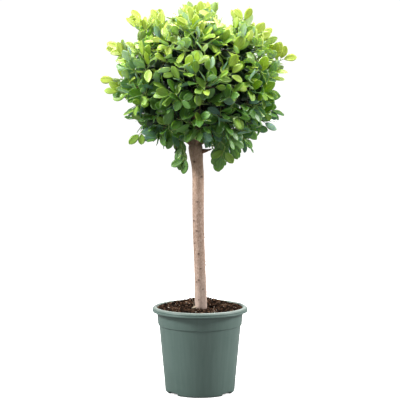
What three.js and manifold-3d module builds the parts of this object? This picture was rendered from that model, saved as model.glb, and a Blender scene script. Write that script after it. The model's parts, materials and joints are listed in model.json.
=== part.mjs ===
// A standard ("lollipop") topiary in a round plastic nursery pot.
//
// Units are millimetres and +Z is up. The origin is the middle of the flat underside of the pot,
// the front of the plant faces -Y and +X is to its right.
//
// The pot is filled with soil, the trunk stands in the soil, the boughs leave the trunk at its
// head, and each bough carries one mass of leafy twigs that keeps to its own share of the crown.
import * as THREE from "three";
import { mergeVertices } from "three/addons/utils/BufferGeometryUtils.js";
import Module from "manifold-3d";

const wasm = await Module();
wasm.setup();

// ---------------------------------------------------------------- driving dimensions

const GAP = 0.3; // clear space between neighbouring pieces
const DEG = Math.PI / 180;

const POT = {
  height: 242,
  rimRadius: 135,
  mouthRadius: 122,
  lipDepth: 13.5,
  collarRadius: 123, // just under the lip
  stepHeight: 191,
  stepRadius: 118.5, // lower edge of the collar
  bodyRadius: 115.5, // top of the tapered body, just below the step
  baseRadius: 98,
  wall: 2.6,
  floor: 4,
  segments: 40,
};

// Four drain openings where the wall meets the floor, at the same bearing to either side of +X
// and of -X.
const DRAIN = { bearings: [38, 142, 218, 322], height: 7, width: 42, inner: 80 };

// The soil is heaped a little higher than the rim, most of all behind the trunk, and dips to the
// trunk's foot.
const SOIL = { edgeHeight: 238, heapHeight: 246, seatHeight: 242, seatRadius: 30, lump: 1.6 };
const MOUND = { x: 5, y: 70, height: 8, width: 45 };

const TRUNK = {
  sides: 12,
  rings: 20,
  footRadius: 17.4,
  flare: 1.2, // extra radius of the root flare at the soil
  flareHeight: 14,
  middleRadius: 16.2,
  headHeight: 688, // swollen head where the boughs start
  headRadius: 20,
  leaderRadius: 9.5, // hidden upper part, inside the foliage
  tipHeight: 862,
  tipRadius: 4,
};

const CROWN = {
  centre: new THREE.Vector3(-6, 0, 878),
  halfWidth: 238,
  halfHeight: 203,
  seedReach: 0.62, // where the middle of a mass lies, as a share of the crown's radius
  shaggy: 1.05, // how far leaf tips may stand out of the smooth outline
  margin: 0.8, // space kept to the planes between two masses
};

const TWIG = { step: 42, tipRadius: 1.6, rootRadius: 2.9, clearance: 0.6 };

const LEAF = {
  length: 80,
  width: 47,
  thickness: 1.8,
  tipSize: 0.75, // size of the leaf at the end of a shoot
  angle: 54 * DEG, // between a leaf and its twig
  every: 17, // distance between leaves along a twig
  spacing: 17, // least distance between the middles of two leaves
  shade: 0.5, // no leaves grow nearer the crown's centre than this
  attempts: 12, // ways tried before a leaf is left out
};

// Rings of masses: how many, their first azimuth, their elevation seen from the crown's centre,
// the height where their boughs leave the trunk, and where the boughs end (radius and height).
const RINGS = [
  { name: "lower", count: 4, azimuth: 200, elevation: -52, leaves: [693, 703], tip: [88, 768] },
  { name: "middle", count: 5, azimuth: 270, elevation: -8, leaves: [716, 748], tip: [112, 848] },
  { name: "upper", count: 4, azimuth: 0, elevation: 36, leaves: [768, 806], tip: [78, 924] },
];

// Shoots that stand out of the crown, by the place of their furthest leaf tip.
const SHOOTS = {
  peak_left: [2, -20, 1094],
  peak_right: [36, 24, 1092],
  high_left: [-190, 10, 1072],
  thin_left: [-204, -30, 1046],
  high_right: [142, -20, 1078],
  shoulder_right: [202, 25, 1022],
  shoulder_low: [213, -30, 994],
  left_upper: [-260, 5, 980],
  left_middle: [-277, -15, 878],
  left_low: [-246, 20, 826],
  left_lower: [-212, -35, 780],
  left_hanging: [-198, -20, 700],
  right_upper: [271, 10, 944],
  right_middle: [243, -25, 900],
  right_low: [231, 15, 838],
  right_lower: [229, -10, 788],
  right_hanging: [215, 25, 738],
  right_bottom: [150, -35, 677],
  spray_left: [-84, -42, 634],
  spray_left_inner: [-38, -48, 640],
  spray_right: [52, -52, 624],
  spray_right_outer: [102, -72, 660],
};
const SHOOT = { width: 30, root: 0.62 };

// Stray shoots at the front and the back, by a rule: azimuth step, elevation swing and reach.
const STRAYS = { count: 10, reach: [1.05, 1.13] };

// Notches in the crown's outline: x, z and radius of a clear space right through the edge.
const NOTCHES = [
  [-206, 1003, 20],
  [-224, 806, 13],
  [-192, 750, 15],
  [80, 1080, 22],
  [226, 868, 17],
  [208, 818, 13],
];

const SKIRT = { count: 12, radius: [45, 125], height: [716, 742] };

const SURFACE_SHOOTS = 100; // evenly spread shoots that fill the crown's surface
const INNER_SHOOTS = 6; // shoots that end deeper inside

// ---------------------------------------------------------------- materials

function material(colour, roughness) {
  return new THREE.MeshStandardMaterial({ color: colour, roughness, metalness: 0 });
}

const POT_PLASTIC = material("#62756f", 0.55);
const SOIL_MIX = material("#40352a", 0.95);
const BARK = material("#b8937d", 0.85);
const CUT_WOOD = material("#7a5238", 0.85);
const LEAF_COLOURS = {
  top: material("#a8c94a", 0.45),
  upper: material("#8fbb42", 0.45),
  middle: material("#5f9a3c", 0.45),
  lower: material("#3f7f36", 0.45),
};

// ---------------------------------------------------------------- small helpers

// A repeatable stream of numbers from 0 to 1.
function randomStream(seed) {
  let state = seed >>> 0;
  return () => {
    state = (state + 0x6d2b79f5) >>> 0;
    let t = Math.imul(state ^ (state >>> 15), 1 | state);
    t = (t + Math.imul(t ^ (t >>> 7), 61 | t)) ^ t;
    return ((t ^ (t >>> 14)) >>> 0) / 4294967296;
  };
}

function vector(x, y, z) {
  return new THREE.Vector3(x, y, z);
}

function polar(radius, azimuth, z) {
  return vector(radius * Math.cos(azimuth), radius * Math.sin(azimuth), z);
}

function smoothstep(a, b, x) {
  return THREE.MathUtils.smoothstep(x, a, b);
}

function lerp(a, b, t) {
  return a + (b - a) * t;
}

// Any unit vector square to the one given.
function squareTo(direction) {
  const other = Math.abs(direction.z) < 0.9 ? vector(0, 0, 1) : vector(1, 0, 0);
  return other.cross(direction).normalize();
}

function toSolid(geometry) {
  const bare = geometry.clone();
  bare.deleteAttribute("normal");
  bare.deleteAttribute("uv");
  const merged = mergeVertices(bare, 1e-4);
  return new wasm.Manifold(
    new wasm.Mesh({
      numProp: 3,
      vertProperties: new Float32Array(merged.attributes.position.array),
      triVerts: new Uint32Array(merged.index.array),
    }),
  );
}

function toGeometry(solid) {
  const mesh = solid.getMesh();
  const geometry = new THREE.BufferGeometry();
  geometry.setAttribute("position", new THREE.BufferAttribute(mesh.vertProperties, 3));
  geometry.setIndex(new THREE.BufferAttribute(mesh.triVerts, 1));
  geometry.computeVertexNormals();
  return geometry;
}

// The largest single body of a solid: the scraps that hang on to nothing are dropped.
function largestBody(solid) {
  const bodies = solid.decompose();
  bodies.sort((a, b) => b.volume() - a.volume());
  return bodies[0];
}

function cutClear(solid, neighbours) {
  return largestBody(neighbours.reduce((rest, other) => rest.subtract(other), solid));
}

const plant = new THREE.Group();

function addPiece(name, geometry, look) {
  const mesh = new THREE.Mesh(geometry, look);
  mesh.name = name;
  plant.add(mesh);
}

// ---------------------------------------------------------------- pot

function potProfile() {
  const p = POT;
  const lipFoot = p.height - p.lipDepth;
  const outside = [
    [0, 0],
    [p.baseRadius - 2, 0],
    [p.baseRadius, 2],
    [p.bodyRadius, p.stepHeight - 3],
    [p.stepRadius, p.stepHeight],
    [p.collarRadius, p.height - p.wall],
    [p.rimRadius - p.wall, p.height - p.wall - 1],
    [p.rimRadius - p.wall, lipFoot],
    [p.rimRadius, lipFoot],
    [p.rimRadius, p.height - 3],
    [p.rimRadius - 3, p.height],
    [p.mouthRadius + 1.5, p.height],
    [p.mouthRadius - 1, p.height - 2],
  ];
  const inside = [
    [p.stepRadius - p.wall, p.stepHeight],
    [p.bodyRadius - p.wall, p.stepHeight - 3],
    [p.baseRadius - p.wall, p.floor],
    [0, p.floor],
  ];
  return [...outside, ...inside].map(([r, z]) => new THREE.Vector2(r, z));
}

// A profile turned about the vertical axis.
function turned(profile, segments) {
  const geometry = new THREE.LatheGeometry(profile, segments);
  geometry.rotateX(90 * DEG);
  return geometry;
}

function drainCutter(bearing) {
  const reach = POT.baseRadius + 20 - DRAIN.inner;
  const arch = new THREE.Shape();
  arch.moveTo(-DRAIN.width / 2, -5);
  arch.lineTo(DRAIN.width / 2, -5);
  arch.lineTo(DRAIN.width / 2, DRAIN.height - 3);
  arch.lineTo(DRAIN.width / 2 - 4, DRAIN.height);
  arch.lineTo(4 - DRAIN.width / 2, DRAIN.height);
  arch.lineTo(-DRAIN.width / 2, DRAIN.height - 3);
  arch.closePath();
  const cutter = new THREE.ExtrudeGeometry(arch, { depth: reach, bevelEnabled: false });
  cutter.rotateX(90 * DEG);
  cutter.rotateZ(90 * DEG);
  cutter.translate(DRAIN.inner, 0, 0);
  cutter.rotateZ(bearing * DEG);
  return toSolid(cutter);
}

function buildPot() {
  const cutters = DRAIN.bearings.map(drainCutter);
  const pot = cutClear(toSolid(turned(potProfile(), POT.segments)), cutters);
  addPiece("pot", toGeometry(pot), POT_PLASTIC);
}

// ---------------------------------------------------------------- soil

// The inner radius of the pot at a height above its floor.
function potInside(z) {
  const p = POT;
  const lower = lerp(p.baseRadius, p.bodyRadius, z / (p.stepHeight - 3));
  const upper = lerp(p.stepRadius, p.mouthRadius + 1.6, (z - p.stepHeight) / (p.height - p.stepHeight));
  return (z < p.stepHeight - 3 ? lower : upper) - p.wall - GAP - 0.25;
}

function buildSoil() {
  const foot = POT.floor + GAP;
  const step = POT.stepHeight - 3;
  const profile = [
    [0, foot],
    [potInside(foot), foot],
    [potInside(step - 1), step - 1],
    [potInside(step - 1), POT.stepHeight + 1],
    [potInside(SOIL.edgeHeight), SOIL.edgeHeight],
    [98, lerp(SOIL.edgeHeight, SOIL.heapHeight, 0.6)],
    [74, SOIL.heapHeight],
    [50, lerp(SOIL.seatHeight, SOIL.heapHeight, 0.7)],
    [SOIL.seatRadius, SOIL.seatHeight],
    [0, SOIL.seatHeight],
  ].map(([r, z]) => new THREE.Vector2(r, z));
  const geometry = turned(profile, POT.segments);
  const place = geometry.attributes.position;
  for (let i = 0; i < place.count; i++) {
    const x = place.getX(i);
    const y = place.getY(i);
    const r = Math.hypot(x, y);
    const inOpenTop = place.getZ(i) > SOIL.edgeHeight + 0.5 && r > SOIL.seatRadius + 1;
    if (!inOpenTop) continue;
    const lump = Math.sin(x * 0.083 + 1) * Math.cos(y * 0.071) + Math.sin((x - y) * 0.13);
    const fromMound = Math.hypot(x - MOUND.x, y - MOUND.y) / MOUND.width;
    const mound = MOUND.height * Math.exp(-fromMound * fromMound);
    place.setZ(i, place.getZ(i) + SOIL.lump * lump + mound);
  }
  addPiece("soil", toGeometry(toSolid(geometry)), SOIL_MIX);
}

// ---------------------------------------------------------------- limbs

// The direction of a row of points at each point, and two directions square to it that turn as
// little as they can from one point to the next.
function ringFrames(spots) {
  const last = spots.length - 1;
  let across;
  return spots.map((_, i) => {
    const before = spots[Math.max(i - 1, 0)];
    const tangent = spots[Math.min(i + 1, last)].clone().sub(before).normalize();
    across = across ? across.clone().addScaledVector(tangent, -across.dot(tangent)) : squareTo(tangent);
    across.normalize();
    return { tangent, across, third: tangent.clone().cross(across) };
  });
}

// A limb is a row of points with a radius at each share of its length: a many-sided cylinder
// laid along the row, its rings kept square to it.
function limbGeometry(spots, radiusAt, sides, grow = 0, ripple = () => 0) {
  const rings = spots.length - 1;
  const geometry = new THREE.CylinderGeometry(1, 1, 1, sides, rings);
  const place = geometry.attributes.position;
  const frames = ringFrames(spots);
  for (let i = 0; i < place.count; i++) {
    const share = place.getY(i) + 0.5;
    const ring = Math.round(share * rings);
    const inMiddle = Math.hypot(place.getX(i), place.getZ(i)) < 0.5;
    const turn = Math.atan2(place.getZ(i), place.getX(i));
    const radius = inMiddle ? 0 : radiusAt(share) + grow + ripple(share, turn);
    const { tangent, across, third } = frames[ring];
    const spot = spots[ring].clone();
    spot.addScaledVector(across, radius * Math.cos(turn));
    spot.addScaledVector(third, radius * Math.sin(turn));
    if (ring === 0) spot.addScaledVector(tangent, -grow);
    if (ring === rings) spot.addScaledVector(tangent, grow);
    place.setXYZ(i, spot.x, spot.y, spot.z);
  }
  return outwards(geometry);
}

// The faces are turned to point outwards if laying the cylinder down has mirrored them.
function outwards(geometry) {
  const place = geometry.attributes.position;
  const index = geometry.index.array;
  let volume = 0;
  const [a, b, c] = [vector(), vector(), vector()];
  for (let i = 0; i < index.length; i += 3) {
    a.fromBufferAttribute(place, index[i]);
    b.fromBufferAttribute(place, index[i + 1]);
    c.fromBufferAttribute(place, index[i + 2]);
    volume += a.dot(b.cross(c));
  }
  if (volume < 0) {
    for (let i = 0; i < index.length; i += 3) {
      [index[i + 1], index[i + 2]] = [index[i + 2], index[i + 1]];
    }
  }
  return geometry;
}

// Points and radii along a limb, for keeping twigs and leaves clear of it.
function limbLine(curve, radiusAt, count) {
  const spots = curve.getSpacedPoints(count);
  return spots.map((spot, i) => ({ spot, radius: radiusAt(i / count) }));
}

// A limb is added to the plant where the limbs before it leave room.
function addLimb(name, curve, radiusAt, sides, rings, look) {
  const spots = curve.getSpacedPoints(rings);
  const limb = toSolid(limbGeometry(spots, radiusAt, sides));
  addPiece(name, toGeometry(cutClear(limb, grownLimbs)), look);
  grownLimbs.push(toSolid(limbGeometry(spots, radiusAt, sides, GAP)));
  limbLines.push(limbLine(curve, radiusAt, 24));
}

const limbLines = [];
const grownLimbs = [];

// ---------------------------------------------------------------- trunk

function trunkCentre(z) {
  const drift = lerp(2.5, -5, smoothstep(236, 520, z));
  const lean = lerp(0, -9, smoothstep(600, 720, z));
  return vector(drift + lean + 2 * smoothstep(720, 862, z), -2 * Math.sin((z - 236) / 150), z);
}

const TRUNK_FOOT = SOIL.seatHeight + GAP;

const trunkCurve = new THREE.CatmullRomCurve3(
  Array.from({ length: 16 }, (_, i) => trunkCentre(lerp(TRUNK_FOOT, TRUNK.tipHeight, i / 15))),
);

function trunkRadius(share) {
  const z = lerp(TRUNK_FOOT, TRUNK.tipHeight, share);
  const t = TRUNK;
  const foot = t.flare * Math.pow(1 - smoothstep(TRUNK_FOOT, TRUNK_FOOT + t.flareHeight, z), 1.5);
  const stem = lerp(t.footRadius, t.middleRadius, smoothstep(250, 380, z));
  const head = (t.headRadius - t.middleRadius) * smoothstep(t.headHeight - 60, t.headHeight, z);
  const leader = lerp(1, t.leaderRadius / t.headRadius, smoothstep(t.headHeight, t.headHeight + 34, z));
  const tip = lerp(1, t.tipRadius / t.leaderRadius, smoothstep(t.headHeight + 34, t.tipHeight, z));
  return (stem + head + foot) * leader * tip;
}

// Low ridges that run down the trunk into the root flare.
function trunkRipple(share, turn) {
  const low = 1 - smoothstep(0, 0.12, share);
  return (0.35 + 1.1 * low) * Math.cos(5 * turn + 0.6) * (1 - smoothstep(0.6, 0.8, share));
}

// The trunk's geometry, its foot cut flat where it meets the soil.
function trunkGeometry(grow) {
  const spots = trunkCurve.getSpacedPoints(TRUNK.rings);
  const geometry = limbGeometry(spots, trunkRadius, TRUNK.sides, grow, trunkRipple);
  const place = geometry.attributes.position;
  const firstRing = TRUNK_FOOT + 3;
  for (let i = 0; i < place.count; i++) {
    if (place.getZ(i) < firstRing) place.setZ(i, TRUNK_FOOT);
  }
  return geometry;
}

function buildTrunk() {
  addPiece("trunk", toGeometry(toSolid(trunkGeometry(0))), BARK);
  grownLimbs.push(toSolid(trunkGeometry(GAP)));
  limbLines.push(limbLine(trunkCurve, (share) => trunkRadius(share) + 1.5, 60));
}

// The stub of a pruned side branch, just under the head.
function buildStub() {
  const root = trunkCentre(676);
  const curve = new THREE.QuadraticBezierCurve3(
    root,
    root.clone().add(vector(22, -6, 3)),
    root.clone().add(vector(43, -10, 9)),
  );
  const radiusAt = (share) => lerp(7, 2.4, smoothstep(0.3, 1, share));
  addLimb("pruned_stub", curve, radiusAt, 7, 4, CUT_WOOD);
}

// ---------------------------------------------------------------- shares of the crown

function crownPoint(azimuth, elevation, reach) {
  const flat = Math.cos(elevation) * CROWN.halfWidth * reach;
  const offset = vector(
    flat * Math.cos(azimuth),
    flat * Math.sin(azimuth),
    CROWN.halfHeight * reach * Math.sin(elevation),
  );
  return offset.add(CROWN.centre);
}

// How far out a point lies: 0 at the crown's centre, 1 on its smooth outline.
function crownReach(point) {
  const d = point.clone().sub(CROWN.centre);
  return Math.hypot(d.x / CROWN.halfWidth, d.y / CROWN.halfWidth, d.z / CROWN.halfHeight);
}

function planMasses() {
  const masses = [
    {
      name: "top",
      azimuth: 0,
      elevation: 90 * DEG,
      seed: crownPoint(0, 90 * DEG, CROWN.seedReach),
      look: LEAF_COLOURS.top,
    },
  ];
  for (const ring of RINGS) {
    for (let i = 0; i < ring.count; i++) {
      const azimuth = (ring.azimuth + (360 / ring.count) * i) * DEG;
      masses.push({
        name: `${ring.name}_${i + 1}`,
        ring,
        index: i,
        azimuth,
        elevation: ring.elevation * DEG,
        seed: crownPoint(azimuth, ring.elevation * DEG, CROWN.seedReach),
        look: LEAF_COLOURS[ring.name],
      });
    }
  }
  return masses;
}

const masses = planMasses();

// The planes that part a mass from every other mass.
function cellPlanes(mass) {
  return masses
    .filter((other) => other !== mass)
    .map((other) => {
      const normal = other.seed.clone().sub(mass.seed).normalize();
      const middle = other.seed.clone().add(mass.seed).multiplyScalar(0.5);
      return { normal, limit: normal.dot(middle) - CROWN.margin };
    });
}

function inCell(point, planes) {
  return planes.every(({ normal, limit }) => normal.dot(point) < limit);
}

// ---------------------------------------------------------------- boughs

function buildBough(mass) {
  if (!mass.ring) {
    mass.root = trunkCentre(TRUNK.tipHeight);
    mass.heading = vector(0, 0, 1);
    mass.rootRadius = TWIG.rootRadius;
    return;
  }
  const { leaves, tip, count } = mass.ring;
  const order = (mass.index * 2) % count;
  const start = trunkCentre(lerp(leaves[0], leaves[1], order / (count - 1)));
  const end = polar(tip[0], mass.azimuth, tip[1]).add(vector(CROWN.centre.x, 0, 0));
  const out = vector(Math.cos(mass.azimuth), Math.sin(mass.azimuth), 0);
  const rise = end.z - start.z;
  const bend = start.clone().addScaledVector(out, tip[0] * 0.55).add(vector(0, 0, rise * 0.3));
  const curve = new THREE.QuadraticBezierCurve3(start, bend, end);
  const radiusAt = (share) => lerp(mass.ring.name === "upper" ? 5.5 : 7, 3.2, Math.pow(share, 0.8));
  addLimb(`bough_${mass.name}`, curve, radiusAt, 6, 5, BARK);
  mass.heading = curve.getTangent(1);
  mass.root = end;
  mass.rootRadius = TWIG.rootRadius;
}

// ---------------------------------------------------------------- where the shoots end

function fibonacciSphere(count, reachAt, random) {
  return Array.from({ length: count }, (_, i) => {
    const elevation = Math.asin(1 - (2 * i + 1) / count);
    const azimuth = i * 137.508 * DEG + 0.2 * random();
    return crownPoint(azimuth, elevation, reachAt(random()));
  });
}

function strayShoots(random) {
  return Array.from({ length: STRAYS.count }, (_, i) => {
    const side = i % 2 ? 90 : 270;
    const azimuth = (side + (random() - 0.5) * 110) * DEG;
    const elevation = lerp(-40, 62, (i + random()) / STRAYS.count) * DEG;
    return crownPoint(azimuth, elevation, lerp(...STRAYS.reach, random()));
  });
}

const shootRandom = randomStream(11);
const shootTips = [...Object.values(SHOOTS).map((p) => vector(...p)), ...strayShoots(shootRandom)];

// The space round a shoot that stands out of the crown.
function nearShoot(point) {
  return shootTips.some((tip) => {
    const line = new THREE.Line3(CROWN.centre.clone().lerp(tip, SHOOT.root), tip);
    const nearest = line.closestPointToPoint(point, true, vector());
    return nearest.distanceTo(point) < SHOOT.width;
  });
}

function inNotch(point) {
  return NOTCHES.some(([x, z, radius]) => Math.hypot(point.x - x, point.z - z) < radius);
}

function inCrown(point, furthest) {
  if (inNotch(point)) return false;
  const reach = crownReach(point);
  return reach < CROWN.shaggy || (reach < furthest && nearShoot(point));
}

function clearOfLimbs(point, room) {
  return limbLines.every((line) =>
    line.every(({ spot, radius }) => spot.distanceTo(point) > radius + room),
  );
}

// Ends that hang round the head of the trunk and close the crown from below.
function skirtEnds(random) {
  return Array.from({ length: SKIRT.count }, (_, i) => {
    const azimuth = (360 / SKIRT.count) * (i + 0.6 * random()) * DEG;
    return polar(lerp(...SKIRT.radius, random()), azimuth, lerp(...SKIRT.height, random()));
  });
}

// Each target is where a twig ends; those of the outstanding shoots also know their leaf's tip.
function planTargets() {
  const random = randomStream(5);
  const shoots = shootTips.map((tip) => {
    const inwards = CROWN.centre.clone().sub(tip).normalize();
    return { end: tip.clone().addScaledVector(inwards, LEAF.length * LEAF.tipSize), tip };
  });
  const fill = [
    ...fibonacciSphere(SURFACE_SHOOTS, (r) => lerp(0.76, 0.85, r), random),
    ...fibonacciSphere(INNER_SHOOTS, (r) => lerp(0.45, 0.6, r), random),
    ...skirtEnds(random),
  ];
  return [...shoots, ...fill.map((end) => ({ end }))];
}

const targets = planTargets();

// ---------------------------------------------------------------- twigs

// Twigs grow from the root of a mass: first its stem, through the middle of the mass, then twigs
// towards the places where its shoots end. Nearer ends are reached first, and each new twig
// leaves the older ones at the joint from which the way is shortest.
function growTwigs(mass, planes, random) {
  const stemEnd = crownPoint(mass.azimuth, mass.elevation, 0.76);
  const reached = targets
    .filter(({ end }) => inCell(end, planes))
    .sort((a, b) => a.end.distanceTo(mass.root) - b.end.distanceTo(mass.root));
  const root = { spot: mass.root, heading: mass.heading, way: 0, carriers: [] };
  const stem = layTwig(root, stemEnd, random);
  const twigs = [stem];
  const joints = [...stem.joints];
  for (const { end, tip } of reached) {
    const cost = (joint) => joint.spot.distanceTo(end) + 0.45 * joint.way;
    const from = joints.reduce((best, joint) => (cost(joint) < cost(best) ? joint : best));
    const twig = layTwig(from, end, random);
    const fits = twig.spots.slice(1).every((spot) => fitsSpace(spot, planes, 2.5));
    if (!fits) continue;
    joints.splice(joints.indexOf(from), 1);
    joints.push(...twig.joints);
    for (const carrier of from.carriers) carrier.carries += 1;
    twigs.push({ ...twig, tip });
  }
  return twigs;
}

function fitsSpace(spot, planes, room) {
  return inCell(spot, planes) && clearOfLimbs(spot, room) && !inNotch(spot);
}

// One twig: a bowed row of straight internodes that starts along its parent. A joint, where a
// younger twig can leave, lies a third and two thirds of the way along each internode.
function layTwig(from, end, random) {
  const length = from.spot.distanceTo(end);
  const count = Math.max(1, Math.round(length / TWIG.step));
  const bend = from.spot.clone().lerp(end, 0.5);
  bend.addScaledVector(from.heading, length * 0.16);
  bend.add(vector((random() - 0.5) * 8, (random() - 0.5) * 8, -length * 0.05));
  const bow = new THREE.QuadraticBezierCurve3(from.spot, bend, end);
  const spots = bow.getPoints(count);
  const twig = { from, spots, carries: 1, joints: [] };
  for (let i = 0; i < count; i++) {
    const heading = spots[i + 1].clone().sub(spots[i]).normalize();
    for (const share of [1 / 3, 2 / 3]) {
      const spot = spots[i].clone().lerp(spots[i + 1], share);
      const way = from.way + (length * (i + share)) / count;
      const carriers = [...from.carriers, twig];
      twig.joints.push({ spot, heading, way, carriers, parent: twig, share: (i + share) / count });
    }
  }
  return twig;
}

function twigRadius(twig, share) {
  const root = Math.min(TWIG.rootRadius, TWIG.tipRadius * Math.pow(twig.carries, 0.4));
  return lerp(root, TWIG.tipRadius * 0.8, share);
}

// A three-sided tapering rod along one twig. Its root is sunk to the middle of the twig that it
// leaves, and is slim enough there not to show on the far side.
function twigSolid(twig) {
  const { spots, from } = twig;
  const room = from.parent ? 0.48 * twigRadius(from.parent, from.share) : TWIG.rootRadius;
  const radiusAt = (share) => (share < 0.01 ? Math.min(room, twigRadius(twig, 0)) : twigRadius(twig, share));
  return toSolid(limbGeometry(spots, radiusAt, 3));
}

// ---------------------------------------------------------------- leaves

// Outline of a leaf, round from the stalk: share of the length, share of the half width, and
// whether the point lies on the raised sides (1) or on the lower line of the midrib (0).
const OUTLINE = [
  [0, 0, 0],
  [0.42, 0.86, 1],
  [0.8, 0.9, 1],
  [1, 0, 0],
  [0.8, -0.9, 1],
  [0.42, -0.86, 1],
];

// The upper side is folded across the leaf and the underside along its midrib, so that eight
// faces close a thin keeled blade.
const UPPER_FACES = [[0, 1, 5], [1, 2, 4], [1, 4, 5], [2, 3, 4]];
const UNDER_FACES = [[3, 1, 0], [3, 2, 1], [3, 0, 5], [3, 5, 4]];

function leafRim({ base, along, up, length, width }) {
  const across = up.clone().cross(along).normalize();
  return OUTLINE.map(([share, side, raised]) =>
    base
      .clone()
      .addScaledVector(along, share * length)
      .addScaledVector(across, side * width * 0.5)
      .addScaledVector(up, raised * LEAF.thickness),
  );
}

function leafSolid({ rim }) {
  const geometry = new THREE.BufferGeometry().setFromPoints(rim);
  geometry.setIndex([...UPPER_FACES, ...UNDER_FACES].flat());
  return toSolid(outwards(geometry));
}

// A leaf at a spot on a twig, its upper side turned outwards and up to the light. Its free part
// is the blade without the root that is sunk in the twig.
function placeLeaf(spot, along, size, random) {
  const outward = spot.clone().sub(CROWN.centre).normalize();
  const light = outward.multiplyScalar(0.75).add(vector(0, 0, 0.6));
  light.add(vector(random() - 0.5, random() - 0.5, random() - 0.5).multiplyScalar(1.2));
  const up = light.addScaledVector(along, -light.dot(along)).normalize();
  const blade = { base: spot, along, up, length: LEAF.length * size, width: LEAF.width * size };
  const rim = leafRim(blade);
  const free = [rim[0].clone().lerp(rim[3], 0.1), ...rim.slice(1)];
  return { rim, free, middle: rim[0].clone().lerp(rim[3], 0.55) };
}

function sideLeaf(spot, heading, turn, random) {
  const side = squareTo(heading).applyAxisAngle(heading, turn);
  const angle = LEAF.angle * lerp(0.6, 1.25, random());
  const along = heading.clone().multiplyScalar(Math.cos(angle));
  along.addScaledVector(side, Math.sin(angle)).add(vector(0, 0, -0.12)).normalize();
  return placeLeaf(spot, along, lerp(0.8, 1.08, random()), random);
}

// Whether the line between two points passes through the blade of a leaf.
function crossesBlade(from, to, leaf) {
  const reach = from.distanceTo(to);
  const ray = new THREE.Ray(from, to.clone().sub(from).divideScalar(reach));
  return UPPER_FACES.some((face) => {
    const [a, b, c] = face.map((i) => leaf.free[i]);
    const hit = ray.intersectTriangle(a, b, c, false, vector());
    return hit && hit.distanceTo(from) < reach;
  });
}

function leavesCross(leaf, other) {
  const { free } = leaf;
  const edges = free.map((spot, i) => [spot, free[(i + 1) % free.length]]);
  edges.push([free[0], free[3]], [free[1], free[5]], [free[2], free[4]]);
  return edges.some(([from, to]) => crossesBlade(from, to, other));
}

function inSpace(leaf, planes) {
  const spots = [...leaf.rim.slice(1), leaf.middle, leaf.rim[0].clone().lerp(leaf.middle, 0.5)];
  return spots.every(
    (spot) => inCell(spot, planes) && inCrown(spot, 1.4) && clearOfLimbs(spot, TWIG.clearance),
  );
}

function clearOfLeaves(leaf, leaves) {
  return leaves.every((other) => {
    const apart = other.middle.distanceTo(leaf.middle);
    if (apart > LEAF.length * 1.2) return true;
    return apart > LEAF.spacing && !leavesCross(leaf, other) && !leavesCross(other, leaf);
  });
}

function clearOfTwigs(leaf, twigs) {
  return twigs.every(({ spots }) =>
    spots.every((spot, i) => i === 0 || !crossesBlade(spots[i - 1], spot, leaf)),
  );
}

// Leaves stand alternately along each twig, a golden angle apart, with one at its tip.
function growLeaves(twigs, planes, random) {
  const leaves = [];
  const keep = (leaf) => {
    const fits = inSpace(leaf, planes) && clearOfTwigs(leaf, twigs) && clearOfLeaves(leaf, leaves);
    if (fits) leaves.push(leaf);
    return fits;
  };
  const keepTipLeaf = (spot, heading, tip) => {
    const along = tip ? tip.clone().sub(spot).normalize() : heading;
    const size = tip ? tip.distanceTo(spot) / LEAF.length : LEAF.tipSize * lerp(0.9, 1, random());
    return keep(placeLeaf(spot, along, size, random)) || keep(placeLeaf(spot, along, size, random));
  };
  const outstandingFirst = [...twigs].sort((a, b) => (b.tip ? 1 : 0) - (a.tip ? 1 : 0));
  for (const { spots, tip } of outstandingFirst) {
    let turn = random() * 2 * Math.PI;
    for (const { spot, heading, back } of leafSites(spots)) {
      if (crownReach(spot) < LEAF.shade) break;
      if (back < LEAF.every / 2) {
        keepTipLeaf(spot, heading, tip);
        continue;
      }
      for (let attempt = 0; attempt < LEAF.attempts; attempt++) {
        turn += 137.5 * DEG;
        if (keep(sideLeaf(spot, heading, turn, random))) break;
      }
    }
  }
  return leaves;
}

// Where leaves may stand on a twig, from just behind its tip back to its root.
function leafSites(spots) {
  const sites = [];
  let back = 4;
  let done = 0;
  for (let i = spots.length - 1; i > 0; i--) {
    const heading = spots[i].clone().sub(spots[i - 1]);
    const length = heading.length();
    heading.normalize();
    for (; back < done + length - 6; back += back < LEAF.every / 2 ? 8 : LEAF.every) {
      sites.push({ spot: spots[i].clone().addScaledVector(heading, done - back), heading, back });
    }
    done += length;
  }
  return sites;
}

function buildMass(mass, index) {
  const random = randomStream(100 + index);
  const planes = cellPlanes(mass);
  const twigs = growTwigs(mass, planes, random);
  const leaves = growLeaves(twigs, planes, random);
  const solids = [...twigs.map(twigSolid), ...leaves.map(leafSolid)];
  const joined = wasm.Manifold.union(solids);
  addPiece(`foliage_${mass.name}`, toGeometry(cutClear(joined, grownLimbs)), mass.look);
}

// ---------------------------------------------------------------- assembly

buildPot();
buildSoil();
buildTrunk();
buildStub();
masses.forEach(buildBough);
masses.forEach(buildMass);

export default plant;
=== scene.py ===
"""A standard ("lollipop") topiary in its nursery pot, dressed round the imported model.

The script works in metres, +Z up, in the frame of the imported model: the origin is the middle of
the flat underside of the pot, the front of the plant faces -Y and +X is to its right. Shapes
are worked out in millimetres and turned into metres when their mesh is made.
"""
import itertools
import json
import math

import bmesh
import bpy
from mathutils import Matrix, Vector, geometry, noise

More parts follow.
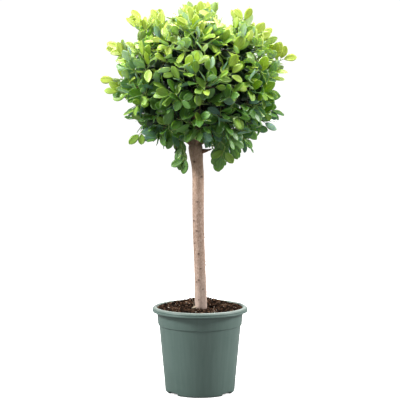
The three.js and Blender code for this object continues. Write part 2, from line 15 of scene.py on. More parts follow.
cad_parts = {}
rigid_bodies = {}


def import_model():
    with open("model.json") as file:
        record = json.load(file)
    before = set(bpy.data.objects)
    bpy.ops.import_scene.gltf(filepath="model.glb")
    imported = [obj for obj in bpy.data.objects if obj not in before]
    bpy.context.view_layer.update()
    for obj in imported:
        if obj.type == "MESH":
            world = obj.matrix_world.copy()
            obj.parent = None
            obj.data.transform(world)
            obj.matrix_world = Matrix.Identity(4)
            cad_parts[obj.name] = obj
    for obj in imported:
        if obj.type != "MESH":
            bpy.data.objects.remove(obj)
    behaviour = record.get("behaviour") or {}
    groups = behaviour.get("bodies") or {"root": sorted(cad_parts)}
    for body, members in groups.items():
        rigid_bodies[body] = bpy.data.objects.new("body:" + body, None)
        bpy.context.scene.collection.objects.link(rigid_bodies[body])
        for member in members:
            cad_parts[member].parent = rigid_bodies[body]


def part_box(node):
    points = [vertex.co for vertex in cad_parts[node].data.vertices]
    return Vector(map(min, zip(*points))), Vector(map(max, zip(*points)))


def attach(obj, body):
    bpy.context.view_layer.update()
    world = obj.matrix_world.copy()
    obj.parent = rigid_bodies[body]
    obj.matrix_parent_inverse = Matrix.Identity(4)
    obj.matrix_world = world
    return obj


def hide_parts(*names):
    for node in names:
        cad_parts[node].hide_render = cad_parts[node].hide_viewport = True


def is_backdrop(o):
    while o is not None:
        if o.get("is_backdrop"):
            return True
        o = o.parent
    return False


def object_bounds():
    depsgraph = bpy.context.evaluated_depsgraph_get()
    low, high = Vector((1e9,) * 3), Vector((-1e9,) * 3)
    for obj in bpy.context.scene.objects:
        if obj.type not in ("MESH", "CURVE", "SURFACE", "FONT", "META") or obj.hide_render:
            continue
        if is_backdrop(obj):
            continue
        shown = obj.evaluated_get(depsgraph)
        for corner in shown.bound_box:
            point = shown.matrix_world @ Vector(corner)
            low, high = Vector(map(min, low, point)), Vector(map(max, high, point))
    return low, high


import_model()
cad_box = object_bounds()

# ------------------------------------------------------------------------------------- pot
# A round nursery pot moulded in one piece from grey-green polypropylene: a tapered body with a
# wider collar, a flat rim turned down into a lip all round, and four drain openings where the
# wall meets the floor. Its thin wall shows faint vertical flow lines from the mould.

MM = 0.001
DEG = math.pi / 180

POT_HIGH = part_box("pot")[1]
POT = {
    "height": POT_HIGH.z / MM,
    "rim": POT_HIGH.x / MM,
    "mouth": 122,
    "lip_depth": 13.5,
    "collar": 123,
    "step_height": 191,
    "step": 118.5,
    "body": 115.5,
    "base": 98,
    "wall": 2.6,
    "floor": 4,
    "around": 160,
}
DRAIN = {"bearings": (38, 142, 218, 322), "height": 8, "width": 42, "corner": 4, "inner": 80}
PLASTIC = {
    "colour": (0.103, 0.158, 0.137),
    "patches": (0.084, 0.135, 0.116),
    "streaks": (0.122, 0.180, 0.160),
    # Painted highlight: the pale colour of the top of the rim.
    "rim_highlight": (0.20, 0.25, 0.22),
    # Painted shadow: the dark colour of a band under the lip.
    "lip_shadow": (0.025, 0.036, 0.033),
}


def lerp(a, b, t):
    return a + (b - a) * t


def smoothstep(a, b, x):
    t = min(max((x - a) / (b - a), 0), 1)
    return t * t * (3 - 2 * t)


def new_piece(name, points, faces, finishes, kinds=None, flat=None):
    """A piece from points in millimetres, with one kind of finish for each face."""
    mesh = bpy.data.meshes.new(name)
    mesh.from_pydata([tuple(c * MM for c in p) for p in points], [], faces)
    for finish in finishes:
        mesh.materials.append(finish)
    if kinds:
        mesh.polygons.foreach_set("material_index", kinds)
    mesh.polygons.foreach_set("use_smooth", [not f for f in flat] if flat else [True] * len(faces))
    mesh.update()
    piece = bpy.data.objects.new(name, mesh)
    bpy.context.scene.collection.objects.link(piece)
    return piece


def on_plant(piece, slot, *nodes):
    """The piece rides with the plant and stands for these nodes. The slot is not used."""
    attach(piece, "root")
    if nodes:
        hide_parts(*nodes)
    return piece


def rounded(corners, steps=5):
    """A profile of (radius, height, rounding) corners with each corner turned into an arc."""
    spots = [Vector((r, z)) for r, z, _ in corners]
    line = []
    for i, (spot, (_, _, size)) in enumerate(zip(spots, corners)):
        if size == 0 or i in (0, len(spots) - 1):
            line.append(spot)
            continue
        before = spot + (spots[i - 1] - spot).normalized() * size
        after = spot + (spots[i + 1] - spot).normalized() * size
        for k in range(steps + 1):
            t = k / steps
            line.append(before.lerp(spot, t).lerp(spot.lerp(after, t), t))
    return line


def ring_points(radius, height_at, around):
    """A level ring of points, or one that lies on the heights of a surface."""
    points = []
    for k in range(around):
        turn = 2 * math.pi * k / around
        x, y = radius * math.cos(turn), radius * math.sin(turn)
        points.append((x, y, height_at(x, y) if callable(height_at) else height_at))
    return points


def ring_faces(low, count):
    """The faces between the ring whose points start at low and the ring that follows it."""
    faces = []
    for k in range(count):
        after = (k + 1) % count
        faces.append((low + k, low + after, low + count + after, low + count + k))
    return faces


def turned(profile, around):
    """Points and faces of a profile of radii and heights turned about the vertical axis, from
    the axis below, out and up to the axis above."""
    points = [(0, 0, profile[0][1])]
    for radius, height in profile[1:-1]:
        points += ring_points(radius, height, around)
    points.append((0, 0, profile[-1][1]))
    last = len(points) - 1
    top = last - around
    faces = [(0, 1 + (k + 1) % around, 1 + k) for k in range(around)]
    for low in range(1, top, around):
        faces += ring_faces(low, around)
    faces += [(last, top + k, top + (k + 1) % around) for k in range(around)]
    return points, faces


def pot_profile():
    """Corners from the middle of the underside, up the outside, over the lip and down inside."""
    p = POT
    lip_foot = p["height"] - p["lip_depth"]
    skirt = p["rim"] - 2.2
    return rounded([
        # The underside and the foot.
        (0, 0, 0),
        (p["base"] - 5, 0, 1.5),
        (p["base"], 2.5, 2.4),
        # The tapered body, the step and the collar.
        (lerp(p["base"], p["body"], 0.06), 14, 0),
        (lerp(p["base"], p["body"], 0.5), 95, 0),
        (p["body"], p["step_height"] - 1.6, 0.5),
        (p["step"], p["step_height"], 0.9),
        (p["collar"], p["height"] - 6, 2),
        # The lip: up inside its skirt, round its foot and over the rolled rim to the mouth.
        (skirt - 3, p["height"] - 4, 1.5),
        (skirt - 0.6, lip_foot, 0.6),
        (p["rim"] - 0.5, lip_foot, 1.2),
        (p["rim"] - 0.3, p["height"] - 9.6, 0.8),
        (p["rim"] - 1.9, p["height"] - 8.4, 0.8),
        (p["rim"], p["height"] - 6, 2.6),
        (p["rim"] - 5, p["height"], 3.4),
        (p["mouth"] + 2.5, p["height"], 1.8),
        (p["mouth"] - 1.2, p["height"] - 3, 2),
        # Down the inside of the wall to the floor.
        (p["step"] - p["wall"], p["step_height"], 0.6),
        (p["body"] - p["wall"], p["step_height"] - 3, 0.6),
        (lerp(p["base"], p["body"], 0.1) - p["wall"], 20, 0),
        (p["base"] - p["wall"], p["floor"], 2),
        (0, p["floor"], 0),
    ])


def drain_cutter(bearing):
    """A rounded arch that cuts one drain opening through the foot of the wall."""
    half, corner, below, steps = DRAIN["width"] / 2, DRAIN["corner"], -5, 6
    arch = [(-half, below), (half, below)]
    for side, first in ((1, 0), (-1, 1)):
        for k in range(steps + 1):
            turn = math.pi / 2 * (first + k / steps)
            y = side * (half - corner) + corner * math.cos(turn)
            arch.append((y, DRAIN["height"] - corner + corner * math.sin(turn)))
    points = [(r, y, z) for r in (DRAIN["inner"], POT["base"] + 20) for y, z in arch]
    count = len(arch)
    faces = [tuple(range(count))[::-1], tuple(range(count, 2 * count)), *ring_faces(0, count)]
    cutter = new_piece(f"drain_cutter_{bearing}", points, faces, [])
    cutter.data.transform(Matrix.Rotation(bearing * DEG, 4, "Z"))
    return cutter


def cut_away(piece, cutters):
    """Cuts the cutters out of a piece for good, and removes them."""
    for cutter in cutters:
        cut = piece.modifiers.new("cut", "BOOLEAN")
        cut.operation = "DIFFERENCE"
        cut.solver = "EXACT"
        cut.object = cutter
    depsgraph = bpy.context.evaluated_depsgraph_get()
    whole = piece.data
    piece.data = bpy.data.meshes.new_from_object(piece.evaluated_get(depsgraph))
    piece.modifiers.clear()
    piece.data.name = piece.name
    piece.data.set_sharp_from_angle(angle=40 * DEG)
    bpy.data.meshes.remove(whole)
    for cutter in cutters:
        bpy.data.objects.remove(cutter)


def node_group(name, inputs, outputs):
    """An empty shader group with named sockets, and its two ends."""
    group = bpy.data.node_groups.new(name, "ShaderNodeTree")
    for label, kind, value in inputs:
        socket = group.interface.new_socket(label, in_out="INPUT", socket_type=kind)
        if value is not None:
            socket.default_value = value
    for label, kind in outputs:
        group.interface.new_socket(label, in_out="OUTPUT", socket_type=kind)
    return group, group.nodes.new("NodeGroupInput"), group.nodes.new("NodeGroupOutput")


def feed(tree, target, source):
    """Links a socket, or sets a plain value."""
    if isinstance(source, bpy.types.NodeSocket):
        tree.links.new(source, target)
    elif isinstance(source, (tuple, list)) and len(source) == 3 and target.type == "RGBA":
        target.default_value = (*source, 1)
    else:
        target.default_value = source


def add_node(tree, kind, sources, output, **settings):
    """Adds a shader node, sets it up, feeds its inputs and gives one of its outputs."""
    node = tree.nodes.new(kind)
    for label, value in settings.items():
        setattr(node, label, value)
    for label, source in sources.items():
        feed(tree, node.inputs[label], source)
    return node.outputs[output]


def maths(tree, operation, a, b=0.0, c=0.0):
    return add_node(tree, "ShaderNodeMath", {0: a, 1: b, 2: c}, 0, operation=operation)


def mixed_colour(tree, share, a, b):
    sources = {"Factor": share, 6: a, 7: b}
    return add_node(tree, "ShaderNodeMix", sources, 2, data_type="RGBA")


def noise_at(tree, where, scale, detail=3.0, roughness=0.5):
    sources = {"Vector": where, "Scale": scale, "Detail": detail, "Roughness": roughness}
    return add_node(tree, "ShaderNodeTexNoise", sources, "Fac")


def own_place(tree, stretch=(1, 1, 1), turn=(0, 0, 0)):
    """The piece's own coordinates, stretched and turned."""
    place = add_node(tree, "ShaderNodeTexCoord", {}, "Object")
    sources = {"Vector": place, "Scale": stretch, "Rotation": turn}
    return add_node(tree, "ShaderNodeMapping", sources, "Vector")


def band(tree, value, low, high):
    """0 below low, 1 above high and smooth between."""
    sources = {"Value": value, "From Min": low, "From Max": high}
    smooth = {"interpolation_type": "SMOOTHSTEP"}
    return add_node(tree, "ShaderNodeMapRange", sources, "Result", **smooth)


def mottle_group():
    """Soft patches of a second colour, at two scales, with their height for a bump."""
    group, start, end = node_group(
        "mottle",
        [
            ("Vector", "NodeSocketVector", None),
            ("Colour", "NodeSocketColor", (0.5, 0.5, 0.5, 1)),
            ("Patches", "NodeSocketColor", (0.4, 0.4, 0.4, 1)),
            ("Scale", "NodeSocketFloat", 40.0),
            ("Amount", "NodeSocketFloat", 0.5),
        ],
        [("Colour", "NodeSocketColor"), ("Height", "NodeSocketFloat")],
    )
    coarse = noise_at(group, start.outputs["Vector"], start.outputs["Scale"], 4.0, 0.6)
    finer = maths(group, "MULTIPLY", start.outputs["Scale"], 5.3)
    fine = noise_at(group, start.outputs["Vector"], finer, 3.0, 0.6)
    patches = band(group, coarse, 0.38, 0.66)
    share = maths(group, "MULTIPLY_ADD", fine, 0.5, maths(group, "MULTIPLY", patches, 0.6))
    share = maths(group, "MULTIPLY", share, start.outputs["Amount"])
    colour = mixed_colour(group, share, start.outputs["Colour"], start.outputs["Patches"])
    feed(group, end.inputs["Colour"], colour)
    feed(group, end.inputs["Height"], maths(group, "ADD", coarse, fine))
    return group


MOTTLE = mottle_group()


def placed_group(tree, group, **values):
    """The outputs of a group with these values fed to its inputs."""
    node = tree.nodes.new("ShaderNodeGroup")
    node.node_tree = group
    for label, value in values.items():
        feed(tree, node.inputs[label], value)
    return node.outputs


def mottled(tree, colour, patches, scale, amount):
    """The mottle's colour and height over the whole of a piece."""
    values = {"Colour": colour, "Patches": patches, "Scale": scale, "Amount": amount}
    return placed_group(tree, MOTTLE, Vector=own_place(tree), **values)


def new_finish(name, roughness, specular):
    """A material with one Principled shader, and its tree."""
    finish = bpy.data.materials.new(name)
    finish.use_nodes = True
    shader = finish.node_tree.nodes["Principled BSDF"]
    shader.inputs["Roughness"].default_value = roughness
    shader.inputs["Specular IOR Level"].default_value = specular
    return finish, finish.node_tree, shader


def bumped(tree, shader, height, distance, strength):
    sources = {"Distance": distance * MM, "Strength": strength, "Height": height}
    feed(tree, shader.inputs["Normal"], add_node(tree, "ShaderNodeBump", sources, "Normal"))


def height_of(tree):
    """How high a point lies, in metres."""
    return add_node(tree, "ShaderNodeSeparateXYZ", {0: own_place(tree)}, "Z")


def pot_painted_light(tree):
    """A painted highlight that turns the top of the rim pale, and a painted shadow that darkens a
    band just under the foot of the lip.
    """
    height = height_of(tree)
    # Painted highlight: the top of the rim turns pale where the top light catches it, its lower
    # edge made ragged by noise.
    edge_noise = noise_at(tree, own_place(tree), 60.0, 4.0, 0.7)
    uneven = maths(tree, "MULTIPLY_ADD", edge_noise, 0.008, height)
    rim_highlight = band(tree, uneven, (POT["height"] - 1.5) * MM, (POT["height"] + 2.5) * MM)
    # Painted shadow: a band just under the foot of the lip is darkened where the lip's shade falls.
    lip_foot = POT["height"] - POT["lip_depth"]
    below_lip = band(tree, height, (lip_foot - 7) * MM, (lip_foot - 1) * MM)
    on_lip = band(tree, height, (lip_foot - 0.6) * MM, lip_foot * MM)
    return rim_highlight, maths(tree, "MULTIPLY", maths(tree, "SUBTRACT", below_lip, on_lip), 0.6)


def pot_plastic():
    """Satin plastic with faint vertical flow lines, a painted highlight on the top of the rim and a
    painted shadow under the lip.
    """
    finish, tree, shader = new_finish("pot_plastic", 0.42, 0.38)
    streaks = noise_at(tree, own_place(tree, (90, 90, 2.2)), 1.0, 3.0, 0.6)
    mottle = mottled(tree, PLASTIC["colour"], PLASTIC["patches"], 14.0, 0.5)
    flow = maths(tree, "MULTIPLY", band(tree, streaks, 0.35, 0.7), 0.5)
    colour = mixed_colour(tree, flow, mottle["Colour"], PLASTIC["streaks"])
    rim_highlight, lip_shadow = pot_painted_light(tree)
    # Painted highlight on the top of the rim.
    colour = mixed_colour(tree, rim_highlight, colour, PLASTIC["rim_highlight"])
    # Painted shadow under the lip.
    feed(tree, shader.inputs["Base Color"], mixed_colour(tree, lip_shadow, colour, PLASTIC["lip_shadow"]))
    grain = noise_at(tree, own_place(tree), 900.0, 2.0)
    feed(tree, shader.inputs["Roughness"], maths(tree, "MULTIPLY_ADD", grain, 0.16, 0.36))
    bumped(tree, shader, maths(tree, "MULTIPLY_ADD", streaks, 0.5, grain), 0.2, 0.35)
    return finish


pot = new_piece("nursery_pot", *turned(pot_profile(), POT["around"]), [pot_plastic()])
cut_away(pot, [drain_cutter(bearing) for bearing in DRAIN["bearings"]])
on_plant(pot, "pot_plastic", "pot")

# ------------------------------------------------------------------------------------ soil
# Coarse potting mix of peat and composted bark that fills the pot to just under its mouth. It is
# heaped a little round the trunk, and loose crumbs, bark chips and a few pale grains lie on it.

SOIL = {
    "edge": 238,
    "heap": 241.5,
    "seat": 233.5,
    "shoulder": (72, 118),
    "dip": (20, 90),
    "around": 160,
    "top_rings": 56,
}
MOUND = {"x": 5, "y": 70, "height": 13, "width": 45}
# Height and fineness of the clods, from the largest to the smallest.
CLODS = ((3.2, 0.05), (2.8, 0.13), (1.8, 0.4))
CRUMBS = {"count": 5200, "size": (0.9, 4.2), "spread": 117.5, "bare": 0.022, "wall": 119.5}
# Each kind of crumb: its share counted up with those before it, its size, how long it is for its
# width, and its two colours.
CRUMB_KINDS = [
    {"name": "peat_crumbs", "share": 0.62, "size": 1, "long": (0.9, 1.4),
     "colours": ((0.024, 0.014, 0.009), (0.007, 0.0045, 0.003))},
    {"name": "bark_chips", "share": 0.88, "size": 1, "long": (1, 2.3),
     "colours": ((0.115, 0.060, 0.035), (0.038, 0.020, 0.012))},
    {"name": "straw_chips", "share": 0.965, "size": 0.9, "long": (1, 2.6),
     "colours": ((0.27, 0.18, 0.120), (0.14, 0.085, 0.055))},
    {"name": "pale_grains", "share": 1.01, "size": 0.85, "long": (0.9, 1.3),
     "colours": ((0.72, 0.66, 0.56), (0.50, 0.43, 0.35))},
]


def random_stream(seed):
    """A repeatable stream of numbers from 0 to 1, the same as in the part's source."""
    state = seed & 0xFFFFFFFF

    def draw():
        nonlocal state
        state = (state + 0x6D2B79F5) & 0xFFFFFFFF
        t = ((state ^ (state >> 15)) * (1 | state)) & 0xFFFFFFFF
        t = ((t + (t ^ (t >> 7)) * (61 | t)) & 0xFFFFFFFF) ^ t
        return (t ^ (t >> 14)) / 4294967296

    return draw


def soil_height(x, y):
    """The heap of the soil, from the mouth of the pot to the trunk, with clods and hollows."""
    r = math.hypot(x, y)
    rise = lerp(SOIL["heap"], SOIL["edge"], smoothstep(*SOIL["shoulder"], r))
    from_mound = math.hypot(x - MOUND["x"], y - MOUND["y"]) / MOUND["width"]
    rise += MOUND["height"] * math.exp(-(from_mound**2)) * smoothstep(20, 45, r)
    dip = (SOIL["heap"] - SOIL["seat"]) * (1 - smoothstep(*SOIL["dip"], r))
    spot = Vector((x, y, 0))
    clods = sum(height * noise.noise(spot * fineness) for height, fineness in CLODS)
    return rise - dip + clods * smoothstep(8, 30, r) * (1 - 0.6 * smoothstep(100, 118, r))


def soil_profile():
    """Up the inside of the pot's wall, and in over the heap to the trunk."""
    p, rings = POT, SOIL["top_rings"]
    outer = p["mouth"] - p["wall"] - 0.6
    profile = [
        (0, p["floor"] + 0.3),
        (p["base"] - p["wall"] - 3.2, p["floor"] + 0.3),
        (p["base"] - p["wall"] - 2.6, p["floor"] + 4),
        (p["step"] - p["wall"] - 2.2, p["step_height"] - 5),
    ]
    profile += [(outer * k / rings, soil_height) for k in range(rings, 0, -1)]
    return [*profile, (0, SOIL["seat"])]


def mottled_finish(name, colour, patches, roughness, specular, scale, amount, depth, strength):
    """A surface with patches of a second colour, which stand out a little."""
    finish, tree, shader = new_finish(name, roughness, specular)
    mottle = mottled(tree, colour, patches, scale, amount)
    feed(tree, shader.inputs["Base Color"], mottle["Colour"])
    bumped(tree, shader, mottle["Height"], depth, strength)
    return finish


def soil_finish(name, colour, patches):
    """Dull, crumbly matter in two colours."""
    return mottled_finish(name, colour, patches, 0.95, 0.03, 260.0, 0.9, 1.2, 0.8)


def crumb_shape():
    """The twelve corners and twenty faces of a rough crumb."""
    shape = bmesh.new()
    bmesh.ops.create_icosphere(shape, subdivisions=1, radius=1)
    corners = [v.co.copy() for v in shape.verts]
    faces = [tuple(v.index for v in f.verts) for f in shape.faces]
    shape.free()
    return corners, faces


def crumb_pieces():
    """Loose crumbs, chips and pale grains, spread over the soil by a seeded rule."""
    draw = random_stream(71)
    corners, faces = crumb_shape()
    heap = {kind: ([], []) for kind in range(len(CRUMB_KINDS))}
    for _ in range(CRUMBS["count"]):
        r = CRUMBS["spread"] * math.sqrt(lerp(CRUMBS["bare"], 1, draw()))
        turn = 2 * math.pi * draw()
        x, y = r * math.cos(turn), r * math.sin(turn)
        lot = draw()
        kind = next(i for i, crumb in enumerate(CRUMB_KINDS) if lot < crumb["share"])
        size = lerp(*CRUMBS["size"], draw() ** 2.2) * CRUMB_KINDS[kind]["size"]
        size = min(size, max(0.8, CRUMBS["wall"] - r))
        long = lerp(*CRUMB_KINDS[kind]["long"], draw())
        turned_by = Matrix.Rotation(2 * math.pi * draw(), 3, "Z")
        turned_by @= Matrix.Rotation(0.9 * draw(), 3, "X")
        middle = Vector((x, y, soil_height(x, y) + size * 0.25))
        points, sides = heap[kind]
        start = len(points)
        for corner in corners:
            rough = lerp(0.72, 1.2, draw())
            shaped = Vector((corner.x * long, corner.y, corner.z * 0.7)) * size * rough
            points.append(middle + turned_by @ shaped)
        sides.extend(tuple(start + i for i in face) for face in faces)
    return heap


PEAT = soil_finish("potting_mix", (0.011, 0.0065, 0.0045), (0.004, 0.003, 0.002))

soil = new_piece("potting_soil", *turned(soil_profile(), SOIL["around"]), [PEAT])
on_plant(soil, "potting_mix", "soil")
for kind, (points, faces) in crumb_pieces().items():
    name = CRUMB_KINDS[kind]["name"]
    finish = soil_finish(name, *CRUMB_KINDS[kind]["colours"])
    crumbs = new_piece(name, points, faces, [finish], flat=[True] * len(faces))
    on_plant(crumbs, "potting_mix")

# ----------------------------------------------------------------------------------- trunk
# One upright stem, smooth and pinkish tan, that flares a little at the soil, leans slightly and
# swells at its head, where it is browner and the boughs start. Small dark scars show where its
# side shoots were rubbed off. Its leader runs on inside the foliage.

TRUNK = {
    "sides": 96,
    "rings": 420,
    "foot_radius": 17.4,
    "flare": 0.2,
    "flare_height": 14,
    "middle_radius": 16.2,
    "head_height": 688,
    "head_radius": 20,
    "leader_radius": 9.5,
    "tip_height": 862,
    "tip_radius": 4,
    "buried": 14,
    "soil_height": 236,
    "drift": (2.5, -5),
    "lean": -9,
    "sway": 2,
    "swell": 60,
    "neck": 34,
}
TRUNK_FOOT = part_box("trunk")[0].z / MM
# Scars of rubbed-off shoots: height, bearing from the front (degrees, + to the right) and size.
SCARS = [
    (650, -26, 4.6), (608, 38, 4.2), (538, -8, 2.6), (484, -48, 3.6), (456, -20, 3.4),
    (447, 62, 3.2), (421, -52, 2.6), (392, -6, 3.2), (366, 66, 2.4), (350, 8, 2.8),
    (318, -16, 3.2), (312, -40, 3.0), (292, 24, 2.4), (262, -20, 2.6), (352, 120, 3.0),
    (430, 170, 3.4), (520, 150, 3.0), (560, -130, 3.6), (610, 190, 4.0), (330, -120, 2.8),
]
# Short dead shoots on the bark: height, bearing, length and rise.
DRY_SHOOTS = [
    (438, 82, 4, -0.2), (366, 76, 7, 0.9), (361, 84, 8, -0.1), (356, 70, 5, 0.4),
    (520, 215, 5, 0.6),
]
# The bark of the stem: it turns browner between these heights, and is paler below the last one.
STEM = {
    "pale": (0.635, 0.475, 0.378),
    "warm": (0.36, 0.24, 0.18),
    "brown": (0.54, 0.35, 0.23),
    "brown_from": (540, 740),
    "foot": (0.86, 0.70, 0.61),
    "foot_to": (280, 460),
}
SCAR_COLOUR = (0.050, 0.024, 0.016)


def trunk_centre(z):
    """The middle of the stem, which drifts to the left and leans more under its head."""
    t = TRUNK
    drift = lerp(*t["drift"], smoothstep(t["soil_height"], 520, z))
    lean = lerp(0, t["lean"], smoothstep(600, 720, z))
    x = drift + lean + t["sway"] * smoothstep(720, t["tip_height"], z)
    return Vector((x, -t["sway"] * math.sin((z - t["soil_height"]) / 150), z))


def trunk_radius(share):
    """The radius at a share of the height, from the flared foot to the tip of the leader."""
    t = TRUNK
    z = lerp(TRUNK_FOOT, t["tip_height"], share)
    foot = t["flare"] * (1 - smoothstep(TRUNK_FOOT, TRUNK_FOOT + t["flare_height"], z)) ** 1.5
    stem = lerp(t["foot_radius"], t["middle_radius"], smoothstep(250, 380, z))
    head_height, above = t["head_height"], t["head_height"] + t["neck"]
    swelling = smoothstep(head_height - t["swell"], head_height, z)
    head = (t["head_radius"] - t["middle_radius"]) * swelling
    leader = lerp(1, t["leader_radius"] / t["head_radius"], smoothstep(head_height, above, z))
    tip = lerp(1, t["tip_radius"] / t["leader_radius"], smoothstep(above, t["tip_height"], z))
    return (stem + head + foot) * leader * tip


def ring_frames(spots):
    """The direction of a row of points at each, and two square to it that turn the least."""
    frames, across = [], None
    for i in range(len(spots)):
        tangent = (spots[min(i + 1, len(spots) - 1)] - spots[max(i - 1, 0)]).normalized()
        across = square_to(tangent) if across is None else across - tangent * across.dot(tangent)
        across.normalize()
        frames.append((tangent, across.copy(), tangent.cross(across)))
    return frames


def square_to(direction):
    other = Vector((0, 0, 1)) if abs(direction.z) < 0.9 else Vector((1, 0, 0))
    return other.cross(direction).normalized()


def limb_shell(spots, radius_at, sides, start=0):
    """Points and faces of a closed limb laid along a row of points. The radius depends on the
    share of the length and on the turn round the limb."""
    points, faces = [], []
    last = len(spots) - 1
    for i, (spot, (_, across, third)) in enumerate(zip(spots, ring_frames(spots))):
        for k in range(sides):
            turn = 2 * math.pi * k / sides
            reach = radius_at(i / last, turn)
            aside = across * (reach * math.cos(turn)) + third * (reach * math.sin(turn))
            points.append(spot + aside)
    for i in range(last):
        faces += ring_faces(start + i * sides, sides)
    faces.append(tuple(start + k for k in range(sides))[::-1])
    faces.append(tuple(start + last * sides + k for k in range(sides)))
    return points, faces


def on_bark(z, bearing, depth=0.0):
    """A spot on the bark, or at a depth inside it, and the way out from there."""
    out = Vector((math.sin(bearing * DEG), -math.cos(bearing * DEG), 0))
    skin = trunk_radius((z - TRUNK_FOOT) / (TRUNK["tip_height"] - TRUNK_FOOT))
    return trunk_centre(z) + out * (skin - depth), out


def bark_relief(spot, calm=1.0):
    """Small ripples and wrinkles of the bark, in millimetres."""
    long_way = Vector((spot.x, spot.y, spot.z * 0.35))
    ripple = 0.55 * noise.noise(long_way * 0.09) + 0.3 * noise.noise(long_way * 0.35)
    wrinkle = 0.22 * noise.noise(Vector((spot.x, spot.y, spot.z * 1.6)) * 0.5)
    return calm * (ripple + wrinkle)


def scar_relief(point, middle, size):
    """How far a scar with its raised lip lifts a point of the bark, and how dark it makes it."""
    offset = point - middle
    away = Vector((offset.x, offset.y, offset.z * 1.5)).length / (0.9 * size)
    if away >= 2.5:
        return 0, 0
    lip = 0.28 * size * math.exp(-((away - 1.15) ** 2) / 0.16)
    return lip - 0.5 * size * math.exp(-(away**2) * 1.6), math.exp(-(away**2) * 0.8)


def trunk_relief(point, centre, share, scars):
    """How far ridges, ripples and scars lift a point of the bark, and how dark it is."""
    turn = math.atan2(point.x - centre.x, centre.y - point.y)
    low = 1 - smoothstep(0, 0.12, share)
    head = smoothstep(0.66, 0.75, share)
    ridge = (0.35 + 0.3 * low) * math.cos(5 * turn + 0.6) * (1 - smoothstep(0.6, 0.8, share))
    seam = -1.6 * head * math.exp(-(((turn + 0.05) / 0.16) ** 2))
    lift, mark = ridge + seam + bark_relief(point), 0.15 * head
    for middle, size in scars:
        scar_lift, scar_mark = scar_relief(point, middle, size)
        lift += scar_lift
        mark = max(mark, scar_mark)
    return lift, mark


def trunk_shell():
    """The trunk with its ridges, relief and scars, and how dark each point is for its scar."""
    t = TRUNK
    rings = t["rings"]
    spots = [trunk_centre(lerp(TRUNK_FOOT, t["tip_height"], i / rings)) for i in range(rings + 1)]
    points, faces = limb_shell(spots, lambda share, _: trunk_radius(share), t["sides"])
    scars = [(on_bark(z, bearing)[0], size) for z, bearing, size in SCARS]
    dark = []
    for i, point in enumerate(points):
        row = i // t["sides"]
        out = (point - spots[row]).normalized()
        lift, mark = trunk_relief(point, spots[row], row / rings, scars)
        points[i] = point + out * (lift if 0 < row < rings else 0)
        dark.append(mark)
    for i in range(t["sides"]):
        points[i].z = TRUNK_FOOT - t["buried"]
    return points, faces, dark


def bark_by_height(tree, colour, ages):
    """The bark's colour with the paler foot and the browner head of an old stem."""
    uneven = noise_at(tree, own_place(tree), 18.0)
    drift = maths(tree, "MULTIPLY_ADD", uneven, 0.12, height_of(tree))
    low, high = ages["brown_from"]
    up = band(tree, drift, low * MM, high * MM)
    colour = mixed_colour(tree, maths(tree, "MULTIPLY", up, 0.4), colour, ages["brown"])
    low, high = ages["foot_to"]
    foot = maths(tree, "SUBTRACT", 1.0, band(tree, drift, low * MM, high * MM))
    return mixed_colour(tree, maths(tree, "MULTIPLY", foot, 0.45), colour, ages["foot"])


def bark_finish(name, pale, warm, ages=None):
    """Smooth bark with fine slanting wrinkles and dark speckles, its scars darker still."""
    finish, tree, shader = new_finish(name, 0.8, 0.3)
    mottle = mottled(tree, pale, warm, 75.0, 0.7)
    wrinkles = noise_at(tree, own_place(tree, (1, 1, 0.55), (0, 0.5, 0)), 260.0, 5.0, 0.7)
    speckles = noise_at(tree, own_place(tree, (1, 1, 0.6), (0, -0.6, 0)), 330.0, 2.0)
    colour = mixed_colour(tree, band(tree, wrinkles, 0.4, 0.6), mottle["Colour"], warm)
    share = maths(tree, "MULTIPLY", band(tree, speckles, 0.55, 0.68), 0.6)
    colour = mixed_colour(tree, share, colour, tuple(c * 0.5 for c in warm))
    if ages:
        colour = bark_by_height(tree, colour, ages)
    scar = add_node(tree, "ShaderNodeAttribute", {}, "Fac", attribute_name="scar")
    colour = mixed_colour(tree, scar, colour, SCAR_COLOUR)
    feed(tree, shader.inputs["Base Color"], colour)
    bumped(tree, shader, maths(tree, "MULTIPLY_ADD", mottle["Height"], 0.4, wrinkles), 0.7, 0.6)
    return finish


STEM_BARK = bark_finish("bark", STEM["pale"], STEM["warm"], STEM)


def marked(piece, dark):
    """Writes how dark each point is for its scar, which the bark's finish reads."""
    piece.data.attributes.new("scar", "FLOAT", "POINT").data.foreach_set("value", dark)
    return piece


def fine_rods(lines, radius):
    """Thin tapering rods between pairs of points, as one shape."""
    points, faces = [], []
    for start, end in lines:
        row = [start.lerp(end, i / 4) for i in range(5)]
        rod = limb_shell(row, lambda share, _: lerp(1.0, 0.5, share) * radius, 6, len(points))
        points += rod[0]
        faces += rod[1]
    return points, faces


def dry_shoot_lines():
    """Short dead shoots, by height, bearing, length and rise, from inside the bark outwards."""
    lines, sunk = [], 1.5
    for z, bearing, length, rise in DRY_SHOOTS:
        root, out = on_bark(z, bearing, sunk)
        lines.append((root, root + (out + Vector((0, 0, rise))).normalized() * (length + sunk)))
    return lines


points, faces, dark = trunk_shell()
trunk = marked(new_piece("trunk_bark", points, faces, [STEM_BARK]), dark)
on_plant(trunk, "bark", "trunk")
points, faces = fine_rods(dry_shoot_lines(), 1.2)
dry_shoots = new_piece("dry_shoots", points, faces, [STEM_BARK])
on_plant(marked(dry_shoots, [0.7] * len(points)), "bark")

# ---------------------------------------------------------------------------------- stalks
# Pale dry stalks among the potting mix: one stands beside the stem, and a thicker piece lies at
# its foot.

STANDING_STALKS = [(Vector((-17, -5, 238)), Vector((-22, -5, 277)))]
LYING_STALKS = [(Vector((-12, -18, 242)), Vector((-22, -27, 240)))]
STRAW = soil_finish("dry_stalk", (0.70, 0.60, 0.46), (0.50, 0.40, 0.28))

